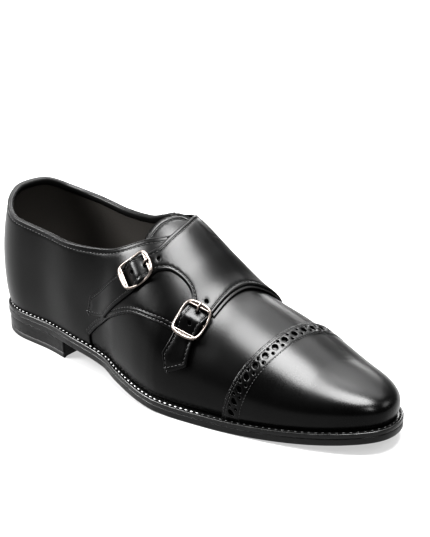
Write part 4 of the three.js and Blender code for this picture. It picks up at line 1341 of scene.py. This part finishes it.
def tube(path, wide, high, closed=False, sides=12, up=(0, 0, 1)):
    """A bar swept along a path; wide lies across the path, high along up."""
    path = np.asarray(path, float)
    wide = np.broadcast_to(wide, len(path))
    high = np.broadcast_to(high, len(path))
    if closed:
        ahead = np.roll(path, -1, 0) - np.roll(path, 1, 0)
    else:
        ahead = np.gradient(path, axis=0)
    ahead /= np.linalg.norm(ahead, axis=1, keepdims=True)
    side = np.cross(ahead, up)
    side /= np.linalg.norm(side, axis=1, keepdims=True)
    top = np.cross(side, ahead)
    turns = np.linspace(0, 2 * math.pi, sides, endpoint=False)
    rows = np.array([[p + s * math.cos(t) * w / 2 + u * math.sin(t) * h / 2 for t in turns]
                     for p, s, u, w, h in zip(path, side, top, wide, high)])
    if closed:
        return rows.reshape(-1, 3), grid_faces(len(path), sides, round_rows=True, round_columns=True)
    return rows.reshape(-1, 3), closed_tube_faces(len(path), sides)


def bar_height(x):
    half = BUCKLE_LONG / 2 - 1.05
    low = MIDDLE_BAR_Z + 0.75
    return low + (END_BAR_Z - low) * np.minimum(1, np.abs(x) / (half - 0.8)) ** 2


def frame_path(long, wide, bow_end, bow_side, count=30):
    """Rounded rectangle with all four sides bowed outward."""
    points = []
    for k in range(4 * count):
        quarter, f = divmod(k, count)
        a = math.pi / 2 * (quarter + f / count)
        c, s = math.cos(a), math.sin(a)
        power = 2 / 5.2
        x = math.copysign(abs(c) ** power, c)
        y = math.copysign(abs(s) ** power, s)
        points.append((x * (long / 2 + bow_end * (1 - y * y) - bow_end * 0.5),
                       y * (wide / 2 + bow_side * (1 - x * x) - bow_side * 0.5)))
    return resample(np.array(points), 0.55, closed=True)


def build_buckle(name, node, place, prong_name, prong_node):
    centre, ahead, across, up = place
    to_last = np.stack([ahead, across, up])
    end_bar_x = BUCKLE_LONG / 2 - 2.35
    bar_half = BUCKLE_WIDE / 2 - 0.9
    flat = frame_path(BUCKLE_LONG - 1.7, BUCKLE_WIDE - 1.6, 1.1, 0.45)
    parts, prong = Parts(), Parts()

    def add(points, faces, to=parts):
        to.add(centre + np.asarray(points) @ to_last, faces)

    ring = np.c_[flat, bar_height(flat[:, 0])]
    at_end = np.clip((np.abs(flat[:, 0]) - 6.5) / 2.5, 0, 1)
    add(*tube(ring, 1.75 + 0.1 * at_end, 1.75 + 0.1 * at_end, closed=True, sides=14))
    for end in (-1, 1):
        y = np.linspace(-BUCKLE_WIDE / 2 + 1.9, BUCKLE_WIDE / 2 - 1.9, 25)
        x = np.full_like(y, end * end_bar_x)
        add(*tube(np.c_[x, y, bar_height(x) + 0.1], 1.25, 1.5, sides=12))
        outer_x = end * (BUCKLE_LONG / 2 - 0.9 + 0.4 * (1 - (y / 8) ** 2))
        floor_z = bar_height(x) + 0.22
        plate = np.stack([np.c_[x, y, floor_z], np.c_[outer_x, y, floor_z], np.c_[outer_x, y, floor_z - 0.7],
                          np.c_[x, y, floor_z - 0.7]], 1)
        faces = grid_faces(len(y), 4, round_columns=True)
        add(plate.reshape(-1, 3), faces + [(3, 2, 1, 0), tuple((len(y) - 1) * 4 + i for i in range(4))])
    y = np.linspace(-bar_half, bar_half, 21)
    middle_z = MIDDLE_BAR_Z + 0.75 * (np.abs(y) / bar_half) ** 6
    add(*tube(np.c_[0 * y, y, middle_z], 1.3, 1.3, sides=10))
    parts.piece(name, metal, "buckle_metal", (node,))
    knots = np.array([(-5.3, 0, 1.5), (-5.7, 0, 2.7), (-6.4, 0, 3.9), (-7.6, 0, 4.9), (-8.8, 0, 5.35),
                      (-10.2, 0, 5.3), (-11.2, 0, 5.0)])
    fine = np.linspace(0, len(knots) - 1, 40)
    path = np.stack([curve(np.c_[np.arange(len(knots)), knots[:, k]], fine) for k in range(3)], 1)
    thin = 1 - 0.25 * np.clip(fine / 6, 0, 1)
    add(*tube(path, 1.35 * thin, 1.15 * thin, sides=10, up=(1, 0, 0.6)), to=prong)
    # the loop that holds the prong on its bar
    turns = np.linspace(0, 2 * math.pi, 22, endpoint=False)
    hoop_z = float(bar_height(end_bar_x)) + 0.1
    hoop = np.c_[-end_bar_x + 0.82 * np.cos(turns), 0 * turns, hoop_z + 0.95 * np.sin(turns)]
    add(*tube(hoop, 1.5, 0.45, closed=True, sides=8, up=(0, 1, 0)), to=prong)
    prong.piece(prong_name, metal, "buckle_metal", (prong_node,))


build_sole()
build_welt()
build_heel()
build_upper()
build_insole()
build_straps()
build_lateral_quarter()
build_cap()
build_tongue()
build_collar_binding()
build_back_strip()
build_buckle("front_buckle_frame", "front_buckle", front_place, "front_buckle_prong", "front_prong")
build_buckle("rear_buckle_frame", "rear_buckle", rear_place, "rear_buckle_prong", "rear_prong")

# ------------------------------------------------------------------ camera, light and floor

VIEW_AZIMUTH = math.radians(46.158)
VIEW_HEIGHT = math.radians(20.776)
VIEW_ROLL = math.radians(-0.522)
VIEW_DISTANCE = 1.100977
AIM = Vector((0.03074, 0.00087, 0.07677))
LENS = 160.63
SIDE_SHIFT = -0.028
SHOE_MIDDLE = Vector((0.03, 0.0, 0.05))
PAPER_HALF = 9.0             # half the side of the floor's paper, in metres
PAPER_SHADE = 0.14
PAPER_GLOW = 0.42            # a faint light of its own keeps the paper near white and its shadow soft
WORLD_LIGHT = 0.22
BACKDROP_BOX = (2.6, 1.6)
# name, azimuth and height in degrees, distance, width and depth in metres, brightness
SOFT_BOXES = [
    ("overhead_box", 0, 84, 1.3, 0.90, 0.90, 44),
    ("side_box", -140, 33, 1.3, 0.74, 0.66, 38),
    ("front_strip", -18, 40, 1.3, 0.24, 0.50, 26),
    ("back_box", 125, 16, 1.3, 0.60, 0.22, 12),
    ("medial_fill", 52, 32, 1.6, 0.80, 0.50, 7),
    ("rear_top_box", 130, 52, 1.3, 0.35, 0.35, 16),
]


def view_axes():
    back = Vector((math.sin(VIEW_AZIMUTH) * math.cos(VIEW_HEIGHT),
                   -math.cos(VIEW_AZIMUTH) * math.cos(VIEW_HEIGHT), math.sin(VIEW_HEIGHT)))
    level = Vector((math.cos(VIEW_AZIMUTH), math.sin(VIEW_AZIMUTH), 0))
    up = back.cross(level)
    c, s = math.cos(VIEW_ROLL), math.sin(VIEW_ROLL)
    return level * c + up * s, up * c - level * s, back


def set_camera():
    right, up, back = view_axes()
    data = bpy.data.cameras.new("shoe_camera")
    data.sensor_fit = "HORIZONTAL"
    data.sensor_width = 36
    data.lens = LENS
    data.shift_x = SIDE_SHIFT
    data.clip_end = 20
    camera = add_object("shoe_camera", data)
    place = Matrix((right, up, back)).transposed().to_4x4()
    place.translation = AIM + back * VIEW_DISTANCE
    camera.matrix_world = place
    bpy.context.scene.camera = camera


def hang_light(name, wide, tall, brightness, location, turn):
    """An oval soft box; brightness is its radiance."""
    data = bpy.data.lights.new(name, "AREA")
    data.shape = "ELLIPSE"
    data.size = wide
    data.size_y = tall
    data.energy = brightness * math.pi * wide * tall * math.pi / 4
    lamp = add_object(name, data)
    lamp.location = location
    lamp.rotation_euler = turn


def soft_light(name, azimuth, height, far, wide, tall, brightness):
    """A soft box aimed at the shoe, seen from it at an azimuth from +X and a height in degrees."""
    a, h = math.radians(azimuth), math.radians(height)
    towards = Vector((math.cos(a) * math.cos(h), math.sin(a) * math.cos(h), math.sin(h)))
    hang_light(name, wide, tall, brightness, SHOE_MIDDLE + towards * far,
               towards.to_track_quat("Z", "Y").to_euler())


def backdrop_light(behind, high, brightness):
    """A broad soft box that hangs over the paper behind the shoe and points straight down."""
    place = (-behind * math.sin(VIEW_AZIMUTH), behind * math.cos(VIEW_AZIMUTH), high)
    hang_light("backdrop_light", *BACKDROP_BOX, brightness, place, (0, 0, VIEW_AZIMUTH))


def set_stage():
    mesh = bpy.data.meshes.new("studio_floor")
    half = PAPER_HALF
    corners = [(-half, -half, 0), (half, -half, 0), (half, half, 0), (-half, half, 0)]
    mesh.from_pydata(corners, [], [(0, 1, 2, 3)])
    floor = add_object("studio_floor", mesh)
    paper = Finish("white_paper")
    paper.set(Base_Color=rgb(PAPER_SHADE), Roughness=0.8, Specular_IOR_Level=0.1,
              Emission_Color=rgb(1), Emission_Strength=PAPER_GLOW)
    mesh.materials.append(paper.material)
    world = bpy.data.worlds.new("studio")
    world.use_nodes = True
    background = world.node_tree.nodes["Background"]
    background.inputs["Color"].default_value = rgb(1)
    background.inputs["Strength"].default_value = WORLD_LIGHT
    bpy.context.scene.world = world


set_camera()
set_stage()
for light in SOFT_BOXES:
    soft_light(*light)
backdrop_light(behind=1.25, high=1.5, brightness=5.0)
bpy.context.scene.view_settings.view_transform = "Standard"
bpy.context.scene.view_settings.look = "High Contrast"
